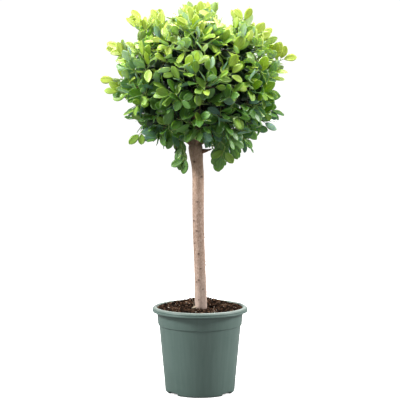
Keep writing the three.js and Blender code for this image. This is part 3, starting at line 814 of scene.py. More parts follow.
on_plant(new_piece("standing_stalks", *fine_rods(STANDING_STALKS, 0.9), [STRAW]), "potting_mix")
on_plant(new_piece("lying_stalks", *fine_rods(LYING_STALKS, 3.4), [STRAW]), "potting_mix")

# ----------------------------------------------------------------------------- pruned stub
# The stub of a side branch that was broken off just under the head: dry brown wood that grows
# out of the trunk and ends in a ragged point.


def bezier(a, b, c, t):
    return a.lerp(b, t).lerp(b.lerp(c, t), t)


STUB_ROOT = trunk_centre(676)
STUB = [STUB_ROOT, STUB_ROOT + Vector((22, -6, 3)), STUB_ROOT + Vector((43, -10, 9))]
CUT_WOOD = bark_finish("cut_wood", (0.30, 0.17, 0.105), (0.16, 0.085, 0.05))


def stub_radius(share, turn):
    """Thick where it leaves the trunk, and ragged towards its point."""
    ragged = 0.35 * math.sin(3 * turn + 9 * share) * smoothstep(0.5, 1, share)
    return lerp(7, 2.2, smoothstep(0.3, 1, share)) + ragged + 0.25 * math.cos(7 * turn + 4 * share)


points, faces = limb_shell([bezier(*STUB, i / 40) for i in range(41)], stub_radius, 20)
stub = marked(new_piece("broken_stub", points, faces, [CUT_WOOD]), [0.0] * len(points))
on_plant(stub, "cut_wood", "pruned_stub")

# ---------------------------------------------------------------------------------- boughs
# Three rings of short limbs that leave the head and the leader and spread inside the foliage.
# Each tapers to the place where its mass of leafy twigs begins. The bark is browner than below.

CROWN_CENTRE = Vector((-6, 0, 878))
# The crown's smooth outline, how far its shaggy one lies outside that, where the seeds of its
# masses lie inside it, and the half gap between two masses.
CROWN = {
    "half_width": 238,
    "half_height": 203,
    "seed_reach": 0.62,
    "shaggy": 1.05,
    "margin": 0.8,
    "underside": 697,
}
# Each ring of boughs: the way its first mass lies, the heights at which its boughs leave the
# stem, how thick they are there, and how far out and how high they end.
RINGS = [
    {"name": "lower", "count": 4, "azimuth": 200, "elevation": -52, "leaves": (693, 703),
     "thick": 7, "tip": (88, 768)},
    {"name": "middle", "count": 5, "azimuth": 270, "elevation": -8, "leaves": (716, 748),
     "thick": 7, "tip": (112, 848)},
    {"name": "upper", "count": 4, "azimuth": 0, "elevation": 36, "leaves": (768, 806),
     "thick": 5.5, "tip": (78, 924)},
]
BOUGH = {"bow": 0.55, "rise": 0.3, "tip_radius": 3.2, "parts": 48, "sides": 16}
BOUGH_BARK = bark_finish("bough_bark", (0.30, 0.19, 0.13), (0.20, 0.12, 0.08))


def crown_point(azimuth, elevation, reach):
    """The point that lies this way from the crown's centre, at a share of its smooth outline."""
    flat = math.cos(elevation) * CROWN["half_width"] * reach
    up = CROWN["half_height"] * reach * math.sin(elevation)
    return CROWN_CENTRE + Vector((flat * math.cos(azimuth), flat * math.sin(azimuth), up))


def crown_reach(point):
    """How far out a point lies: 0 at the crown's centre, 1 on its smooth outline."""
    d = point - CROWN_CENTRE
    wide, high = CROWN["half_width"], CROWN["half_height"]
    return math.sqrt((d.x / wide) ** 2 + (d.y / wide) ** 2 + (d.z / high) ** 2)


def plan_masses():
    """One mass of foliage on the leader and one for each bough, round a seed of its own."""
    masses = [{"name": "top", "ring": None, "azimuth": 0, "elevation": 90 * DEG}]
    for ring in RINGS:
        for i in range(ring["count"]):
            masses.append({
                "name": f"{ring['name']}_{i + 1}",
                "ring": ring,
                "index": i,
                "azimuth": (ring["azimuth"] + 360 / ring["count"] * i) * DEG,
                "elevation": ring["elevation"] * DEG,
            })
    for mass in masses:
        mass["seed"] = crown_point(mass["azimuth"], mass["elevation"], CROWN["seed_reach"])
    return masses


masses = plan_masses()


def limb_line(spot_at, radius_at, count):
    """Points and radii along a limb, for keeping twigs and leaves clear of it."""
    return [(spot_at(i / count), radius_at(i / count)) for i in range(count + 1)]


def trunk_spot(share):
    return trunk_centre(lerp(TRUNK_FOOT, TRUNK["tip_height"], share))


limb_lines = [
    limb_line(trunk_spot, lambda t: trunk_radius(t) + 1.5, 60),
    limb_line(lambda t: bezier(*STUB, t), lambda t: stub_radius(t, 0), 24),
]


def grow_bough(mass):
    """One bough, and where its mass of foliage takes over from it."""
    ring = mass["ring"]
    if ring is None:
        mass["root"], mass["heading"] = trunk_centre(TRUNK["tip_height"]), Vector((0, 0, 1))
        return
    leaves, tip, count = ring["leaves"], ring["tip"], ring["count"]
    start = trunk_centre(lerp(*leaves, ((mass["index"] * 2) % count) / (count - 1)))
    out = Vector((math.cos(mass["azimuth"]), math.sin(mass["azimuth"]), 0))
    end = out * tip[0] + Vector((CROWN_CENTRE.x, 0, tip[1]))
    rise = Vector((0, 0, (end.z - start.z) * BOUGH["rise"]))
    bend = start + out * (tip[0] * BOUGH["bow"]) + rise

    def radius(share):
        return lerp(ring["thick"], BOUGH["tip_radius"], share**0.8)

    def rough_radius(share, turn):
        rough = 0.3 * math.cos(3 * turn + 11 * share) + 0.25 * math.sin(5 * turn - 23 * share)
        return radius(share) + rough

    parts = BOUGH["parts"]
    row = [bezier(start, bend, end, i / parts) for i in range(parts + 1)]
    points, faces = limb_shell(row, rough_radius, BOUGH["sides"])
    piece = new_piece(f"bark_of_bough_{mass['name']}", points, faces, [BOUGH_BARK])
    on_plant(marked(piece, [0.0] * len(points)), "bark", f"bough_{mass['name']}")
    limb_lines.append(limb_line(lambda t: bezier(start, bend, end, t), radius, 24))
    mass["root"], mass["heading"] = end, (end - bend).normalized()


for mass in masses:
    grow_bough(mass)

# ----------------------------------------------------------------------------------- twigs
# Green-barked twigs that branch from the tip of each bough towards the outline of the crown,
# first the ones that carry the mass and then the finer ones between them. They keep to their
# own share of the crown, out of its notches and clear of the limbs.

# Tips of the shoots that stand out of the crown: how far to the right, to the back and up.
SHOOTS = {
    "peak_left": (2, -20, 1094),
    "peak_right": (36, 24, 1092),
    "high_left": (-190, 10, 1072),
    "thin_left": (-204, -30, 1046),
    "high_right": (142, -20, 1078),
    "shoulder_right": (202, 25, 1022),
    "shoulder_low": (213, -30, 994),
    "left_upper": (-260, 5, 980),
    "left_middle": (-277, -15, 878),
    "left_low": (-246, 20, 826),
    "left_lower": (-212, -35, 780),
    "left_hanging": (-198, -20, 700),
    "right_upper": (271, 10, 944),
    "right_middle": (243, -25, 900),
    "right_low": (231, 15, 838),
    "right_lower": (229, -10, 788),
    "right_hanging": (215, 25, 738),
    "right_bottom": (150, -35, 677),
    "spray_left": (-84, -42, 634),
    "spray_left_inner": (-38, -48, 640),
    "spray_right": (52, -52, 624),
    "spray_right_outer": (102, -72, 660),
}
# Shoots whose leaves spread flat in one plane and show their faces to the front.
OPEN_SHOOTS = (
    "peak_left", "high_left", "shoulder_right", "left_upper", "left_middle", "left_low",
    "left_hanging", "right_upper", "right_low", "right_lower",
    "spray_left", "spray_left_inner", "spray_right", "spray_right_outer",
)
# Finer sprays that fill out the outline: the end of the twig, the tip of its last leaf, and
# whether its leaves lie open to the front.
SPRAYS = {
    "crest_left": ((-25, -10, 1051), (-42, -10, 1086), True),
    "crest_far_left": ((-111, -20, 1031), (-133, -20, 1072), True),
    "beside_peak": ((40, 10, 1062), (48, 10, 1094), False),
    "high_right_inner": ((121, -30, 1041), (96, -30, 1071), True),
    "shoulder": ((148, -12, 988), (178, -12, 1036), True),
    "right_shoulder": ((205, -20, 938), (224, -20, 982), True),
    "under_right_upper": ((204, 6, 930), (251, 6, 929), False),
    "under_right_middle": ((196, 0, 884), (236, 0, 881), False),
    "under_right_low": ((184, -10, 818), (229, -10, 838), False),
    "over_right_lower": ((190, 0, 796), (236, 0, 783), False),
    "under_left_middle": ((-216, -20, 844), (-266, -20, 849), True),
    "left_shoulder": ((-216, -20, 943), (-227, -20, 982), True),
    "bottom_left": ((-82, -40, 718), (-102, -40, 681), True),
    "hanging_left": ((-36, -54, 662), (-80, -56, 640), True),
    "hanging_left_inner": ((-40, -50, 672), (-30, -54, 636), True),
    "hanging_right_inner": ((50, -60, 696), (33, -60, 661), True),
    "hanging_right_low": ((60, -60, 670), (52, -60, 627), True),
    "hanging_right_middle": ((66, -66, 682), (91, -66, 648), True),
    "hanging_right_outer": ((76, -56, 692), (111, -56, 665), True),
    "right_bottom_outer": ((180, 0, 790), (214, 0, 769), False),
    "right_bottom_inner": ((126, -20, 744), (158, -20, 712), True),
}
# How wide the space round a shoot is, from which share of the way out it starts, and how far
# short of its tip its twig ends.
SHOOT = {"open_width": 38, "width": 27, "root": 0.62, "back": 60}
# Further shoots at the front and the back, dealt out by a seeded rule.
STRAYS = {"count": 10, "reach": (1.05, 1.13)}
# Notches of the outline that stay empty from front to back: how far to the right, how high and
# how wide, round the top and down both sides to the hanging sprays.
NOTCHES = [
    (-153, 1066, 10), (66, 1068, 18), (76, 1040, 15), (159, 1056, 12),
    (-208, 1009, 18), (-186, 1004, 12), (-264, 940, 12), (-251, 903, 11),
    (-224, 806, 13), (-197, 805, 11), (-192, 750, 15),
    (214, 861, 11), (222, 806, 10), (226, 752, 10),
    (-112, 690, 9), (-84, 666, 14), (-16, 692, 19), (14, 678, 10), (-9, 658, 21), (6, 648, 20),
]
SKIRT = {"radius": (45, 125), "height": (716, 742)}
# A twig's internode, its radius at both ends, how it is bowed, strays and droops, what a detour
# costs it, and the room it keeps from the limbs.
TWIG = {
    "step": 42,
    "tip": 1.5,
    "root": 2.9,
    "bow": 0.16,
    "stray": 8,
    "droop": 0.05,
    "detour": 0.45,
    "clearance": 0.6,
    "room": 2.5,
    "green_reach": 0.66,
}
# How many twigs end near the outline and how far out, how many end inside, and at the skirt.
MAIN_ENDS = {"outer": (100, (0.76, 0.85)), "inner": (6, (0.45, 0.6)), "skirt": 12}
FINE_ENDS = {
    "outer": (400, (0.72, 0.92)),
    "inner": (300, (0.4, 0.74)),
    "skirt": 30,
    "beside_shoot": 3,
    "climb": 0.8,
    "shortest": 14,
    "longest": 110,
    "longest_spray": 160,
}


def cell_planes(mass):
    """The planes that part a mass from every other mass."""
    planes = []
    for other in masses:
        if other is not mass:
            normal = (other["seed"] - mass["seed"]).normalized()
            middle = (other["seed"] + mass["seed"]) * 0.5
            planes.append((normal, normal.dot(middle) - CROWN["margin"]))
    return planes


def in_cell(point, planes, over=0.0):
    return all(normal.dot(point) < limit + over for normal, limit in planes)


def fibonacci_ends(count, reach_at, draw):
    """Ends spread evenly all round the crown, at these shares of the way to its outline."""
    ends = []
    for i in range(count):
        elevation = math.asin(1 - (2 * i + 1) / count)
        azimuth = i * 137.508 * DEG + 0.2 * draw()
        ends.append(crown_point(azimuth, elevation, lerp(*reach_at, draw())))
    return ends


def stray_tips(draw):
    """Tips of the shoots that stand out at the front and the back."""
    tips = []
    for i in range(STRAYS["count"]):
        azimuth = ((90 if i % 2 else 270) + (draw() - 0.5) * 110) * DEG
        elevation = lerp(-40, 62, (i + draw()) / STRAYS["count"]) * DEG
        tips.append(crown_point(azimuth, elevation, lerp(*STRAYS["reach"], draw())))
    return tips


def skirt_ends(count, draw):
    """Ends that hang round the head of the trunk and close the crown from below."""
    ends = []
    for i in range(count):
        azimuth = 360 / count * (i + 0.6 * draw()) * DEG
        radius, height = (lerp(*SKIRT[size], draw()) for size in ("radius", "height"))
        ends.append(Vector((radius * math.cos(azimuth), radius * math.sin(azimuth), height)))
    return ends


shoot_tips = [Vector(tip) for tip in SHOOTS.values()] + stray_tips(random_stream(11))
sprays = [(Vector(end), Vector(tip)) for end, tip, _ in SPRAYS.values()]
open_tips = {tuple(Vector(SHOOTS[name])) for name in OPEN_SHOOTS}
open_tips |= {tuple(Vector(tip)) for _, tip, is_open in SPRAYS.values() if is_open}
outer_lines = [(CROWN_CENTRE.lerp(tip, SHOOT["root"]), tip) for tip in shoot_tips] + sprays


def near_shoot(point):
    """Whether a point lies in the space round a shoot that stands out of the crown."""
    for root, tip in outer_lines:
        nearest, share = geometry.intersect_point_line(point, root, tip)
        nearest = root if share < 0 else tip if share > 1 else nearest
        if (nearest - point).length < SHOOT["open_width" if tuple(tip) in open_tips else "width"]:
            return True
    return False


def in_notch(point):
    return any(math.hypot(point.x - x, point.z - z) < radius for x, z, radius in NOTCHES)


def in_crown(point, furthest):
    """Whether a point lies in the shaggy crown or round an outstanding shoot, and in no notch."""
    if in_notch(point):
        return False
    reach = crown_reach(point)
    if reach < CROWN["shaggy"] and point.z > CROWN["underside"]:
        return True
    return reach < furthest and near_shoot(point)


def clear_of_limbs(point, room):
    spots = (pair for line in limb_lines for pair in line)
    return all((spot - point).length > radius + room for spot, radius in spots)


def spread_ends(rule, draw):
    """Ends near the outline, inside and at the skirt of the crown, with no tip to reach."""
    ends = fibonacci_ends(*rule["outer"], draw)
    ends += fibonacci_ends(*rule["inner"], draw)
    ends += skirt_ends(rule["skirt"], draw)
    return [(end, None) for end in ends]


def plan_main_ends(draw):
    """Where the main twigs end, as in the part's source."""
    ends = [(tip + (CROWN_CENTRE - tip).normalized() * SHOOT["back"], tip) for tip in shoot_tips]
    return ends + spread_ends(MAIN_ENDS, draw)


def plan_fine_ends(draw):
    """Where the finer twigs end: at the sprays, beside the shoots and all through the crown."""
    ends, around = list(sprays), FINE_ENDS["beside_shoot"]
    for tip in shoot_tips:
        inwards = (CROWN_CENTRE - tip).normalized()
        for k in range(around):
            aside = square_to(inwards)
            aside.rotate(Matrix.Rotation(2 * math.pi * (k + draw()) / around, 3, inwards))
            ends.append((tip + inwards * lerp(48, 92, draw()) + aside * lerp(12, 30, draw()), None))
    return ends + spread_ends(FINE_ENDS, draw)


main_ends = plan_main_ends(random_stream(5))
fine_ends = plan_fine_ends(random_stream(23))


def lay_twig(source, end, draw, rise=0.0):
    """A bowed row of straight internodes that starts along its parent, and its joints."""
    length = (source["spot"] - end).length
    count = max(1, round(length / TWIG["step"]))
    bend = source["spot"].lerp(end, 0.5) + source["heading"] * (length * TWIG["bow"])
    stray, droop = TWIG["stray"], TWIG["droop"] + rise
    bend += Vector(((draw() - 0.5) * stray, (draw() - 0.5) * stray, -length * droop))
    spots = [bezier(source["spot"], bend, end, i / count) for i in range(count + 1)]
    twig = {"source": source, "spots": spots, "carries": 1, "joints": [], "length": length}
    for i in range(count):
        heading = (spots[i + 1] - spots[i]).normalized()
        for share in (1 / 3, 2 / 3):
            twig["joints"].append({
                "spot": spots[i].lerp(spots[i + 1], share),
                "heading": heading,
                "way": source["way"] + length * (i + share) / count,
                "carriers": [*source["carriers"], twig],
                "parent": twig,
                "share": (i + share) / count,
            })
    return twig


def grow_towards(ends, twigs, joints, planes, draw, longest=None):
    """Twigs to these ends, each from the joint from which the way is shortest. The finer ones
    rather climb to their ends, but hang down in the lower part of the crown."""
    for end, tip in ends:
        climb = FINE_ENDS["climb"] * smoothstep(-150, 20, end.z - CROWN_CENTRE.z) if longest else 0

        def cost(joint):
            above = climb * max(0, joint["spot"].z - end.z)
            return (joint["spot"] - end).length + TWIG["detour"] * joint["way"] + above

        source = min(joints, key=cost)
        twig = lay_twig(source, end, draw, 0.25 * climb)
        most = FINE_ENDS["longest_spray"] if tip else longest
        if longest and not FINE_ENDS["shortest"] < twig["length"] < most:
            continue
        if not all(fits_space(spot, planes) for spot in twig["spots"][1:]):
            continue
        joints.remove(source)
        joints.extend(twig["joints"])
        for carrier in source["carriers"]:
            carrier["carries"] += 1
        twig["tip"] = tip
        twigs.append(twig)


def fits_space(spot, planes):
    return in_cell(spot, planes) and clear_of_limbs(spot, TWIG["room"]) and not in_notch(spot)


def grow_twigs(mass, planes, draw):
    """The stem of a mass, its main twigs and then the finer ones, nearest ends first."""
    root = {"spot": mass["root"], "heading": mass["heading"]}
    root |= {"way": 0, "carriers": [], "parent": None}
    stem = lay_twig(root, crown_point(mass["azimuth"], mass["elevation"], 0.76), draw)
    stem["tip"] = None
    twigs, joints = [stem], list(stem["joints"])
    for ends, longest in ((main_ends, None), (fine_ends, FINE_ENDS["longest"])):
        within = [(end, tip) for end, tip in ends if in_cell(end, planes)]
        within.sort(key=lambda pair: (pair[0] - mass["root"]).length)
        grow_towards(within, twigs, joints, planes, draw, longest)
    return twigs


def twig_radius(twig, share):
    """Thicker the more twigs it carries, and thin at its end."""
    root = min(TWIG["root"], TWIG["tip"] * twig["carries"] ** 0.3)
    return lerp(root, TWIG["tip"] * 0.7, share)


def smooth_row(spots, parts=3):
    """A smooth curve through the spots of a twig."""
    if len(spots) < 3:
        return [spots[0].lerp(spots[-1], i / parts) for i in range(parts + 1)]
    row = []
    for i, (a, b) in enumerate(zip(spots, spots[1:])):
        into = (b - spots[max(i - 1, 0)]) * 0.5
        out_of = (spots[min(i + 2, len(spots) - 1)] - a) * 0.5
        for k in range(parts):
            t = k / parts
            row.append(
                a * (2 * t**3 - 3 * t**2 + 1) + into * (t**3 - 2 * t**2 + t)
                + b * (3 * t**2 - 2 * t**3) + out_of * (t**3 - t**2)
            )
    return [*row, spots[-1]]


class Heap:
    """Many small shapes gathered into one mesh."""

    def __init__(self):
        self.points, self.faces, self.kinds, self.flat, self.places = [], [], [], [], []

    def add(self, points, faces, kinds, flat, places=None):
        start = len(self.points)
        self.points.extend(points)
        self.faces.extend(tuple(start + i for i in face) for face in faces)
        self.kinds.extend(kinds)
        self.flat.extend(flat)
        if places:
            self.places.extend(places[i] for face in faces for i in face)

    def add_rod(self, spots, radius_at, sides, kind):
        points, faces = limb_shell(spots, radius_at, sides)
        self.add(points, faces, [kind] * len(faces), [False] * len(faces))

    def piece(self, name, finishes):
        return new_piece(name, self.points, self.faces, finishes, self.kinds, self.flat)


def twig_finish(name, colour, patches, roughness):
    """Thin bark, dull on old wood and smoother on green."""
    return mottled_finish(name, colour, patches, roughness, 0.4, 120.0, 0.7, 0.3, 0.5)


WOODY, GREEN = 0, 1
TWIG_FINISHES = [
    twig_finish("woody_twig", (0.080, 0.058, 0.030), (0.035, 0.026, 0.015), 0.7),
    twig_finish("green_twig", (0.30, 0.42, 0.12), (0.19, 0.30, 0.08), 0.5),
]


def add_twig(heap, twig):
    """A smooth tapering rod: green-barked where it is young, and woody where it carries more."""
    source = twig["source"]
    room = TWIG["root"]
    if source["parent"]:
        room = 0.6 * twig_radius(source["parent"], source["share"])

    def radius(share, _):
        return min(room, twig_radius(twig, 0)) if share < 0.01 else twig_radius(twig, share)

    young = crown_reach(twig["spots"][-1]) > TWIG["green_reach"] and twig["carries"] < 7
    heap.add_rod(smooth_row(twig["spots"]), radius, 5, GREEN if young else WOODY)


# ---------------------------------------------------------------------------------- leaves
# Leathery leaves, round at the tip and drawn in to a short stalk, that stand alternately along
# every twig with one at its end. Their colours mix age and painted light: the young ones at
# the tips are yellow-green, leaves high up and at the sides of the crown are painted paler as
# painted light, those inside and below a deep green as painted shade, those deep inside near
# black as painted shade, and all are greyer underneath.

# Leaves grow where a twig is out of the shade. A share of them is left out near the outline, so
# that twigs and dark gaps show, and a leaf may reach a little over into the next mass.
LEAF = {
    "length": 51,
    "ratio": 0.53,
    "thickness": 0.6,
    "stalk": 7,
    "angle": 58 * DEG,
    "stray": 1.3,
    "lift": (-0.4, 0.6),
    "every": 13.5,
    "first_gap": 5,
    "joint_gap": 4,
    "spacing": 10.5,
    "shade": 0.26,
    "attempts": 7,
    "shaded_size": 1.18,
    "lit_reach": 0.87,
    "airy_reach": 0.8,
    "airy_share": 0.34,
    "over": 10,
    "furthest": 1.4,
}
# How a blade is divided along and across: finely where it shows, coarsely in the shade inside.
FINE_BLADE = ([0, 0.08, 0.22, 0.4, 0.58, 0.75, 0.88, 0.965, 1], [-1, -0.55, 0, 0.55, 1])
COARSE_BLADE = ([0, 0.15, 0.4, 0.7, 0.93, 1], [-1, 0, 1])
LEAF_KINDS = ["young", "fresh", "mature", "old", "shaded"]
OLD, SHADED = LEAF_KINDS.index("old"), LEAF_KINDS.index("shaded")
# What makes a leaf's kind paler, and the limits of the three palest kinds. Height, reach out
# to the outline and the crown's sides paint light and shade; the way back from the twig's tip is
# the leaf's age, and the spray and chance vary it.
LEAF_AGE_AND_LIGHT = {
    "height": 0.7,
    "reach": 1.6,
    "outline": 0.84,
    "way_back": 0.003,
    "spray": 0.3,
    "chance": 0.22,
    "sides": 0.38,
    "limits": (0.36, 0.05, -0.26),
}
# Colour of the upper side and of the underside of each kind. The paler kinds carry painted
# light besides the leaf's age, and the near-black shaded kind is painted shade deep in the crown.
LEAF_COLOURS = {
    "young": ((0.39, 0.49, 0.075), (0.37, 0.48, 0.29)),
    "fresh": ((0.31, 0.455, 0.050), (0.31, 0.45, 0.33)),
    "mature": ((0.215, 0.38, 0.045), (0.23, 0.38, 0.29)),
    "old": ((0.098, 0.240, 0.040), (0.13, 0.26, 0.18)),
    "shaded": ((0.010, 0.036, 0.009), (0.014, 0.040, 0.014)),
}
# The rough outline of a blade and its faces, to find out whether two leaves cross.
OUTLINE = [(0, 0), (0.42, 0.86), (0.8, 0.9), (1, 0), (0.8, -0.9), (0.42, -0.86)]
BLADE_FACES = [(0, 1, 5), (1, 2, 4), (1, 4, 5), (2, 3, 4)]
# How much the blades differ: how round they are at both ends, how far they are folded at the
# midrib and curled at the tip, and how wavy and twisted they are.
BLADE_SHAPE = {
    "from_base": (0.66, 0.92),
    "to_tip": (0.54, 0.78),
    "fold": (0.06, 0.3),
    "curl": (-0.03, 0.16),
    "wave": (0, 0.05),
    "phase": (0, 6),
    "twist": (-0.25, 0.25),
}


def veins_group():
    """Midrib and side veins of a blade, from its own places: across from 0 to 1, along from 0."""
    group, start, end = node_group(
        "veins",
        [("Slant", "NodeSocketFloat", 0.7)],
        [("Rib", "NodeSocketFloat"), ("Edge", "NodeSocketFloat")],
    )
    where = add_node(group, "ShaderNodeUVMap", {}, "UV", uv_map="blade")
    across = add_node(group, "ShaderNodeSeparateXYZ", {0: where}, "X")
    along = add_node(group, "ShaderNodeSeparateXYZ", {0: where}, "Y")
    aside = maths(group, "ABSOLUTE", maths(group, "SUBTRACT", across, 0.5))
    rib = maths(group, "SUBTRACT", 1.0, band(group, aside, 0.012, 0.05))
    leaning = maths(group, "MULTIPLY", aside, start.outputs["Slant"])
    slant = maths(group, "SUBTRACT", along, leaning)
    wave = maths(group, "SINE", maths(group, "MULTIPLY", slant, 50.0))
    side = maths(group, "MULTIPLY", band(group, wave, 0.8, 1.0), 0.45)
    feed(group, end.inputs["Rib"], maths(group, "MAXIMUM", rib, side))
    feed(group, end.inputs["Edge"], band(group, aside, 0.3, 0.5))
    return group


VEINS = veins_group()


def leaf_finish(name, colour, roughness, rib_share, specular, glow):
    """A leaf's surface: its own green, paler along the midrib and veins, deeper to its edge. Light
    that falls on one side glows through to the other."""
    finish, tree, shader = new_finish(name, roughness, specular)
    shader.inputs["Subsurface Weight"].default_value = glow
    shader.inputs["Subsurface Radius"].default_value = (0.9, 1.0, 0.2)
    shader.inputs["Subsurface Scale"].default_value = 3 * MM
    veins = placed_group(tree, VEINS, Slant=0.7)
    pale = tuple(min(1, c * 1.35 + 0.05) for c in colour)
    deep = tuple(c * 0.86 for c in colour)
    shade = mixed_colour(tree, veins["Edge"], colour, deep)
    rib = maths(tree, "MULTIPLY", veins["Rib"], rib_share)
    feed(tree, shader.inputs["Base Color"], mixed_colour(tree, rib, shade, pale))
    bumped(tree, shader, veins["Rib"], -0.25, 0.6)
    return finish


LEAF_FINISHES = []
for kind in LEAF_KINDS:
    upper, under = LEAF_COLOURS[kind]
    glow = 0.0 if kind == "shaded" else 0.5
    LEAF_FINISHES.append(leaf_finish(f"leaf_{kind}", upper, 0.38, 0.5, 0.5, glow))
    LEAF_FINISHES.append(leaf_finish(f"leaf_{kind}_underside", under, 0.6, 0.35, 0.3, glow))


def blade_grid(along, across):
    """Faces of a closed blade: its upper side, its underside and the rim between them."""
    wide, rows = len(across), len(along)
    under = wide * rows
    upper_faces = []
    for i in range(rows - 1):
        for k in range(wide - 1):
            a = i * wide + k
            upper_faces.append((a, a + 1, a + 1 + wide, a + wide))
    under_faces = [tuple(under + i for i in (a, d, c, b)) for a, b, c, d in upper_faces]
    border = [i * wide for i in range(rows)]
    border += [(rows - 1) * wide + k for k in range(1, wide)]
    border += [i * wide + wide - 1 for i in range(rows - 2, -1, -1)]
    border += list(range(wide - 2, 0, -1))
    rim_faces = [(a, b, under + b, under + a) for a, b in zip(border, border[1:] + border[:1])]
    sides = [len(upper_faces), len(under_faces), len(rim_faces)]
    return along, across, upper_faces + under_faces + rim_faces, sides


BLADES = [blade_grid(*FINE_BLADE), blade_grid(*COARSE_BLADE)]


def blade_width(shape, t):
    """How wide a blade is at t along it, for its width at its widest place."""
    from_base, to_tip = shape["from_base"], shape["to_tip"]
    peak = from_base / (from_base + to_tip)
    inside = min(max(t, 0.006), 0.994)
    return (inside / peak) ** from_base * ((1 - inside) / (1 - peak)) ** to_tip


def blade_spot(leaf, shape, t, v, side):
    """A point of a blade, at t along it and v across it, on its upper or under side."""
    width, length = leaf["width"], leaf["length"]
    aside = 0.5 * v * blade_width(shape, t)
    lift = shape["fold"] * abs(v) ** 0.4 * abs(aside) * width - shape["curl"] * length * t * t
    lift += shape["wave"] * width * abs(v) * math.sin(shape["phase"] + 9 * t + 2 * v)
    lift += shape["twist"] * aside * width * t - side * LEAF["thickness"]
    across = leaf["up"].cross(leaf["along"]).normalized()
    spot = leaf["base"] + leaf["along"] * (t * length) + across * (aside * width)
    return spot + leaf["up"] * lift, (0.5 + aside, t)


def add_leaf(heap, leaf, draw):
    """The blade as a thin closed mesh, folded a little at the midrib and curled at its tip."""
    shape = {part: lerp(*limits, draw()) for part, limits in BLADE_SHAPE.items()}
    rows, columns, faces, (upper, under, rim) = BLADES[1 if leaf["kind"] == SHADED else 0]
    grid = [blade_spot(leaf, shape, t, v, side) for side in (0, 1) for t in rows for v in columns]
    points, places = zip(*grid)
    kind = leaf["kind"] * 2
    kinds = [kind] * upper + [kind + 1] * under + [kind] * rim
    heap.add(points, faces, kinds, [False] * (upper + under) + [True] * rim, places)


def place_leaf(spot, along, size, draw, facing=False):
    """A leaf at a spot on a twig, its upper side turned up to the light and a little outwards,
    or to the front on an open shoot."""
    outward = (spot - CROWN_CENTRE).normalized()
    stray = Vector((draw() - 0.5, draw() - 0.5, draw() - 0.5)) * LEAF["stray"]
    light = outward * 0.6 + Vector((0, 0, 0.7)) + stray
    if facing:
        light = Vector((0, -1, 0.25)) + stray * 0.5
    up = (light - along * light.dot(along)).normalized()
    stalk = LEAF["stalk"] * size
    length = LEAF["length"] * size - stalk
    width = LEAF["length"] * LEAF["ratio"] * size * lerp(0.88, 1.1, draw())
    base = spot + along * stalk
    across = up.cross(along).normalized()
    rim = []
    for share, side in OUTLINE:
        rim.append(base + along * (share * length) + across * (side * width * 0.5))
    return {
        "spot": spot, "base": base, "along": along, "up": up, "length": length, "width": width,
        "rim": rim, "middle": rim[0].lerp(rim[3], 0.55), "size": size,
    }


def side_leaf(spot, heading, turn, size, draw, facing=False):
    """A leaf that leaves its twig sideways. High in the crown it rises, and low down it hangs."""
    side = square_to(heading)
    side.rotate(Matrix.Rotation(turn, 3, heading))
    if facing:
        side = heading.cross(Vector((0, 1 if math.sin(turn) > 0 else -1, 0))).normalized()
    angle = LEAF["angle"] * lerp(0.6, 1.25, draw())
    high = (spot.z - CROWN_CENTRE.z) / CROWN["half_height"]
    lift = lerp(*LEAF["lift"], smoothstep(-0.8, 0.8, high))
    along = heading * math.cos(angle) + side * math.sin(angle) + Vector((0, 0, lift))
    outward = (spot - CROWN_CENTRE).normalized()
    outward.z *= 0.2
    along -= outward * (0.2 * max(0, along.dot(outward)))
    return place_leaf(spot, along.normalized(), size, draw, facing)


def crosses_blade(start, end, leaf):
    """Whether the line between two points passes through a blade."""
    way = end - start
    rim = leaf["rim"]
    for a, b, c in BLADE_FACES:
        hit = geometry.intersect_ray_tri(rim[a], rim[b], rim[c], way, start, True)
        if hit is not None and (hit - start).dot(way) < way.dot(way):
            return True
    return False


def leaves_cross(leaf, other):
    rim = leaf["rim"]
    edges = [(rim[i], rim[(i + 1) % 6]) for i in range(6)]
    edges += [(rim[0], rim[3]), (rim[1], rim[5]), (rim[2], rim[4])]
    return any(crosses_blade(a, b, other) for a, b in edges)


class Neighbours:
    """Leaves and pieces of twig sorted into boxes of space, to find those near a point."""

    def __init__(self, size=60):
        self.size, self.boxes = size, {}

    def box(self, point):
        return tuple(int(c // self.size) for c in point)

    def add(self, point, thing):
        self.boxes.setdefault(self.box(point), []).append(thing)

    def near(self, point):
        around = [(c - 1, c, c + 1) for c in self.box(point)]
        for box in itertools.product(*around):
            yield from self.boxes.get(box, ())


all_leaves = Neighbours()
all_twigs = Neighbours()


def leaf_fits(leaf, planes):
    """Whether a leaf keeps to its mass and the crown, and clear of limbs, leaves and twigs."""
    spots = [*leaf["rim"][1:], leaf["middle"]]
    if not all(in_cell(spot, planes, LEAF["over"]) for spot in spots):
        return False
    if not all(in_crown(spot, LEAF["furthest"]) for spot in spots):
        return False
    tip = leaf["rim"][3]
    if not all(clear_of_limbs(spot, TWIG["clearance"]) for spot in (tip, leaf["middle"])):
        return False
    for other in all_leaves.near(leaf["middle"]):
        apart = (other["middle"] - leaf["middle"]).length
        if apart < LEAF["spacing"]:
            return False
        if apart < LEAF["length"] and (leaves_cross(leaf, other) or leaves_cross(other, leaf)):
            return False
    return not any(crosses_blade(a, b, leaf) for a, b in all_twigs.near(leaf["middle"]))


def leaf_sites(spots):
    """Where leaves stand on a twig, from its tip back to its root."""
    sites, back, done = [], 0.0, 0.0
    for i in range(len(spots) - 1, 0, -1):
        heading = spots[i] - spots[i - 1]
        length = heading.length
        heading.normalize()
        while back < done + length - LEAF["joint_gap"]:
            sites.append((spots[i] - heading * (back - done), heading, back))
            back += LEAF["every"] if back else LEAF["first_gap"]
        done += length
    return sites


